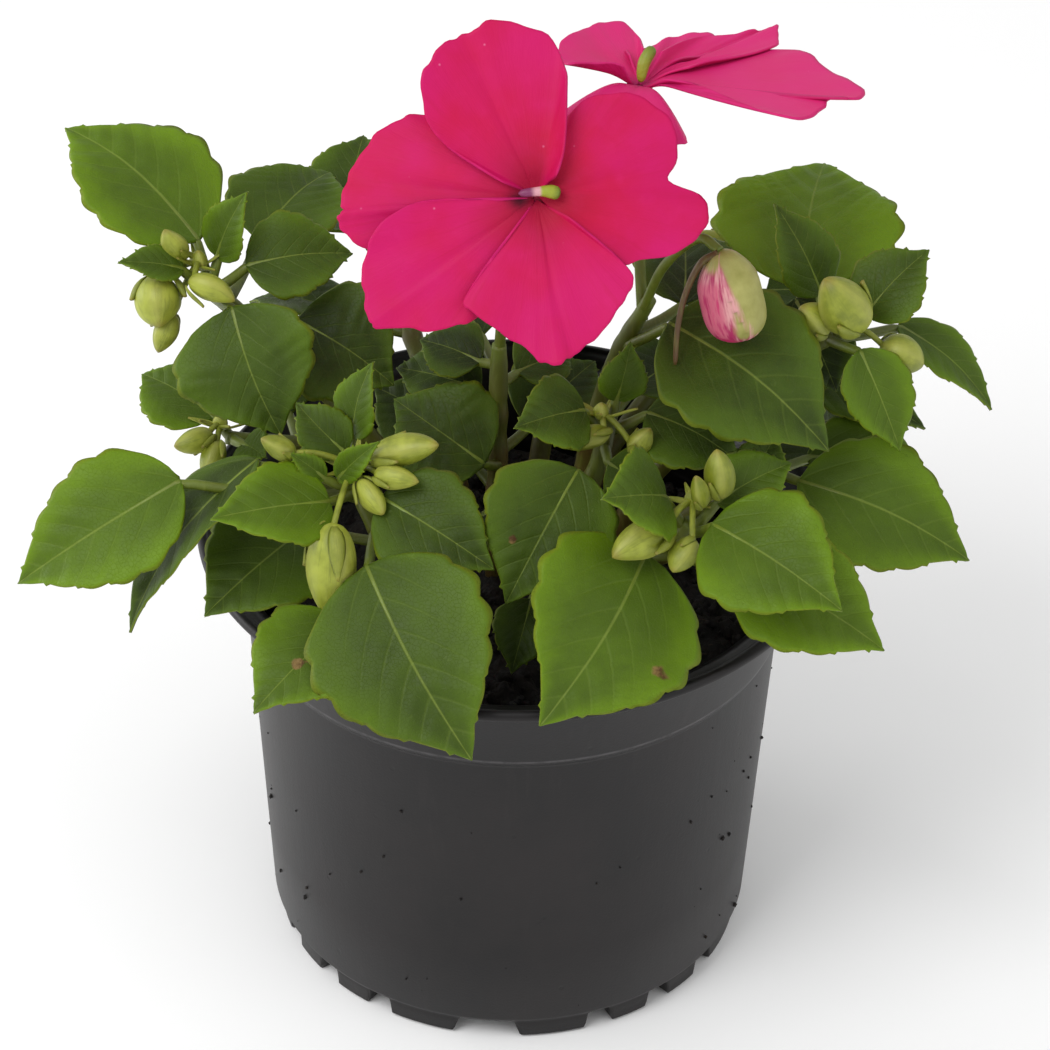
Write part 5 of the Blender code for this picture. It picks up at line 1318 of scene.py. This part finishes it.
# Each petal's lift, tilt and cup, and its outline in millimetres along the flower's own axes
REAR_PETALS = [
    (2.2, 0.2, 0.6,
     [(-3.0, -2.2), (-6.7, -2.0), (-11.3, -1.4), (-13.0, 3.0), (-12.2, 8.0), (-8.1, 15.4), (-5.6, 18.4),
      (-1.7, 19.5), (0.4, 15.5), (0.6, 7.0)]),
    (1.0, 0.2, 0.6,
     [(-1.6, 5.0), (-1.5, 11.0), (2.9, 14.6), (6.0, 18.6), (10.0, 20.8), (13.4, 19.7), (12.0, 12.9),
      (5.0, 3.9)]),
    (2.0, 0.2, -0.5,
     [(3.0, 6.1), (10.8, 17.2), (15.0, 19.4), (19.2, 22.8), (21.7, 24.6), (23.6, 24.6), (23.4, 21.6),
      (22.4, 14.7), (13.1, 6.2), (7.2, 1.8)]),
    (1.9, -0.3, -0.9,
     [(6.0, 5.0), (11.8, 9.4), (19.0, 13.4), (24.7, 14.6), (26.8, 12.5), (28.6, 8.8), (30.0, 3.4),
      (32.4, -0.6), (34.2, -5.6), (33.6, -10.4), (31.6, -12.0), (30.0, -10.0), (28.8, -9.4), (27.6, -12.4),
      (25.9, -16.4), (23.3, -19.2), (19.9, -19.4), (15.7, -15.4), (12.0, -10.4), (8.0, -6.0), (3.0, -4.0)]),
    (-5.0, 0.0, 0.3,
     [(4.0, -1.4), (6.0, -7.4), (6.8, -13.6), (5.2, -16.6), (-1.6, -17.6), (-7.2, -16.4), (-12.0, -11.8),
      (-12.9, -6.5), (-9.0, -1.0), (-3.4, 0.4)]),
]
rear_axes = flower_axes(REAR_NORMAL)
open_flower("flower_rear", REAR_MIDDLE, rear_axes, REAR_PETALS, np.random.default_rng(8), "petals_rear",
            pale=1.0)

# %% [markdown]
# ## Columns and spurs
# In the throat of each flower stands a short thick column, green at one end, then cream and purple. A
# thin spur, hidden from the front, curves away behind. Both are tubes, each with a few radii along its
# path.

# %% Column finish
def make_column_finish():
    """Green at the foot, then cream and pale purple at the tip, with fine grains."""
    column = Recipe("column_green", Metallic=0.0)
    grains = column.noise(column.place(), 1800.0, 3.0)
    tone = column.number("tone")
    foot_share = column.rise(tone, 0.0, 0.4) * 0.8 + grains * 0.2
    foot = column.blend(foot_share, paint(62, 92, 4), paint(150, 158, 40))
    tip = column.blend(column.rise(tone, 0.68, 0.8), paint(206, 150, 158), paint(120, 44, 88))
    colour = column.blend(column.rise(tone, 0.56, 0.64), foot, tip)
    return column.finish(Base_Color=colour, Roughness=0.4 + grains * 0.2,
                         Normal=column.relief(grains, 0.0002, 0.6))


column_finish = make_column_finish()

# %% Columns and spurs
COLUMN_RINGS = 24
THROAT_SIDES = 20
SPUR_RINGS = 60
SPUR_RADIUS = 0.38
SPUR_MOUTH = 1.75
MOUTH_DEPTHS = (1.5, 2.2, 3.6)


def column(name, middle, axes, places, radii, tones, node):
    """A short rounded body along places in the flower's own axes: right, up and out."""
    right, up, normal = axes
    path = smooth_route([middle + x * right + y * up + z * normal for x, y, z in places], COLUMN_RINGS)
    t = np.linspace(0.0, 1.0, COLUMN_RINGS)
    ends = np.sqrt(np.clip(1.0 - (2.0 * t - 1.0) ** 6, 0.02, 1.0))
    radius = np.interp(t, np.linspace(0.0, 1.0, len(radii)), radii) * ends
    made = tube(path, radius, THROAT_SIDES, tone=np.interp(t, (0.0, 1.0), tones))
    put_mesh(name, made, column_finish, [node])


def spur(name, middle, axes, places, node):
    """A funnel behind the throat that thins to a long curved spur. Its mouth closes the throat, with painted
    shade at its start.
    """
    mouth = [middle - depth * axes[2] for depth in MOUTH_DEPTHS]
    path = smooth_route([*mouth, *places], SPUR_RINGS)
    t = np.linspace(0.0, 1.0, SPUR_RINGS)
    radius = SPUR_RADIUS + SPUR_MOUTH * np.exp(-(t / 0.16) ** 2)
    radius[-3:] *= (0.95, 0.8, 0.4)
    # Painted shade at the mouth, where the hole into the spur lies in shade
    dark = 0.6 * np.exp(-(t / 0.02) ** 2)
    put_mesh(name, tube(path, radius, THROAT_SIDES, throat=dark), petal_finish, [node])


column("column_front", FRONT_MIDDLE, front_axes, [(3.5, 0.4, 1.0), (1.2, 0.8, 1.7), (-2.9, 0.5, 1.8)],
       (1.15, 1.05, 0.7, 0.7), (0.0, 1.0), "petals_front")
column("column_rear", REAR_MIDDLE, rear_axes, [(0.0, -0.6, -0.8), (0.3, 0.2, 2.2), (1.6, 1.4, 4.6)],
       (0.7, 1.0, 1.0), (0.5, 0.1), "petals_rear")
spur("spur_front", FRONT_MIDDLE, front_axes, [(5, -9, 147), (8.5, -7, 141), (11, -9, 134), (10, -13, 128)],
     "petals_front")
spur("spur_rear", REAR_MIDDLE, rear_axes,
     [(19.4, 9.5, 151), (19.6, 7, 146), (17.5, 4.5, 140), (14.5, 3.5, 136.5)], "petals_rear")

# %% [markdown]
# ## The opening flower
# One flower hangs half open on a stalk of its own: pale green outside, streaked with pink, with the
# furled petals wrapped one over the next like a rolled umbrella. The wraps are steps in a tube's radius
# that wind slowly round it.

# %% Opening flower finish
def make_blush_finish():
    """Pale green that turns to pink along the wraps and at the open end, with fine streaks."""
    blush = Recipe("petal_blush", Metallic=0.0, Specular_IOR_Level=0.4)
    place = blush.place()
    across, along = blush.flat()
    mottling = blush.noise(place, 400.0, 3.0)
    streaks = blush.noise(blush.vector(across * 40.0, along * 3.0, 0.0), 1.0, 3.0)
    pink = blush.number("pink") + (streaks - 0.5) * 0.7
    green = blush.blend(mottling, paint(124, 124, 48), paint(176, 172, 104))
    rosy = blush.blend(blush.rise(streaks, 0.35, 0.62), paint(160, 30, 84), paint(208, 150, 150))
    soft = blush.blend(blush.rise(pink, 0.25, 0.6), green, rosy)
    colour = blush.blend(blush.rise(pink, 0.7, 1.1), soft, paint(180, 30, 92))
    return blush.finish(Base_Color=colour, Roughness=0.45 + mottling * 0.1,
                        Normal=blush.relief(streaks, 0.0002, 0.5))


blush_finish = make_blush_finish()

# %% The furled petals and their spur
OPENING_BUD = ((31.5, -8.6, 138.4), (35.3, -11.4, 123.8), 9.8)
OPENING_RINGS, OPENING_SIDES = 48, 64
WRAPS = 3.0
BLUSH_WAY = (-0.93, -0.36, -0.1)
OPENING_SPUR = [(31.2, -8.8, 137.8), (28.4, -9.4, 136.4), (26.2, -10.0, 131.0), (25.2, -10.6, 125.0),
                (25.0, -11.4, 118.6)]
OPENING_SPUR_RINGS = 40


def opening_flower(base, tip, width):
    """A blunt drop with three wraps: the radius grows by a tenth round each wrap and steps back at its edge.

    It is pink on the side that faces BLUSH_WAY and at its open end, and pale green elsewhere.
    """
    base, tip = np.array(base, float), np.array(tip, float)
    t = np.linspace(0.003, 0.997, OPENING_RINGS)[:, None]
    angle = round_angles(OPENING_SIDES)[None, :]
    swell = 0.5 * width * (1.0 - (2.0 * t - 1.0) ** 4) ** 0.5 * (0.72 + 0.28 * ease(t, 0.0, 0.4)) + 0.05
    wrap = (angle / (2.0 * np.pi) * WRAPS + 0.35 * t + 0.1) % 1.0
    radii = swell * (0.97 + 0.1 * wrap * ease(t, 0.1, 0.5))
    path = base + t * (tip - base)
    made = tube(path, radii, OPENING_SIDES, wrap=wrap + 0.0 * t, down=t + 0.0 * wrap)
    axis = unit(tip - base)
    out = made.points - base
    out = unit(out - (out @ axis)[:, None] * axis + 1e-6)
    facing = out @ unit(BLUSH_WAY)
    made.numbers["pink"] = (0.15 + 0.75 * ease(facing, 0.1, 0.75) * ease(made.numbers["down"], 0.02, 0.3)
                            + 0.5 * ease(made.numbers["down"], 0.84, 1.0)
                            + 0.25 * ease(made.numbers["wrap"], 0.75, 1.0))
    return made


put_mesh("bloom_opening", opening_flower(*OPENING_BUD), blush_finish, ["petals_opening"])
spur_route = smooth_route(OPENING_SPUR, OPENING_SPUR_RINGS)
spur_radii = (0.62 - 0.22 * np.linspace(0.0, 1.0, OPENING_SPUR_RINGS)
              + 0.35 * np.exp(-np.arange(OPENING_SPUR_RINGS) / 4.0))
spur_radii[-2:] *= (0.85, 0.5)
put_mesh("spur_opening", tube(spur_route, spur_radii, FLOWER_STALK_SIDES, tone=0.05), stem_finish,
         ["petals_opening"])
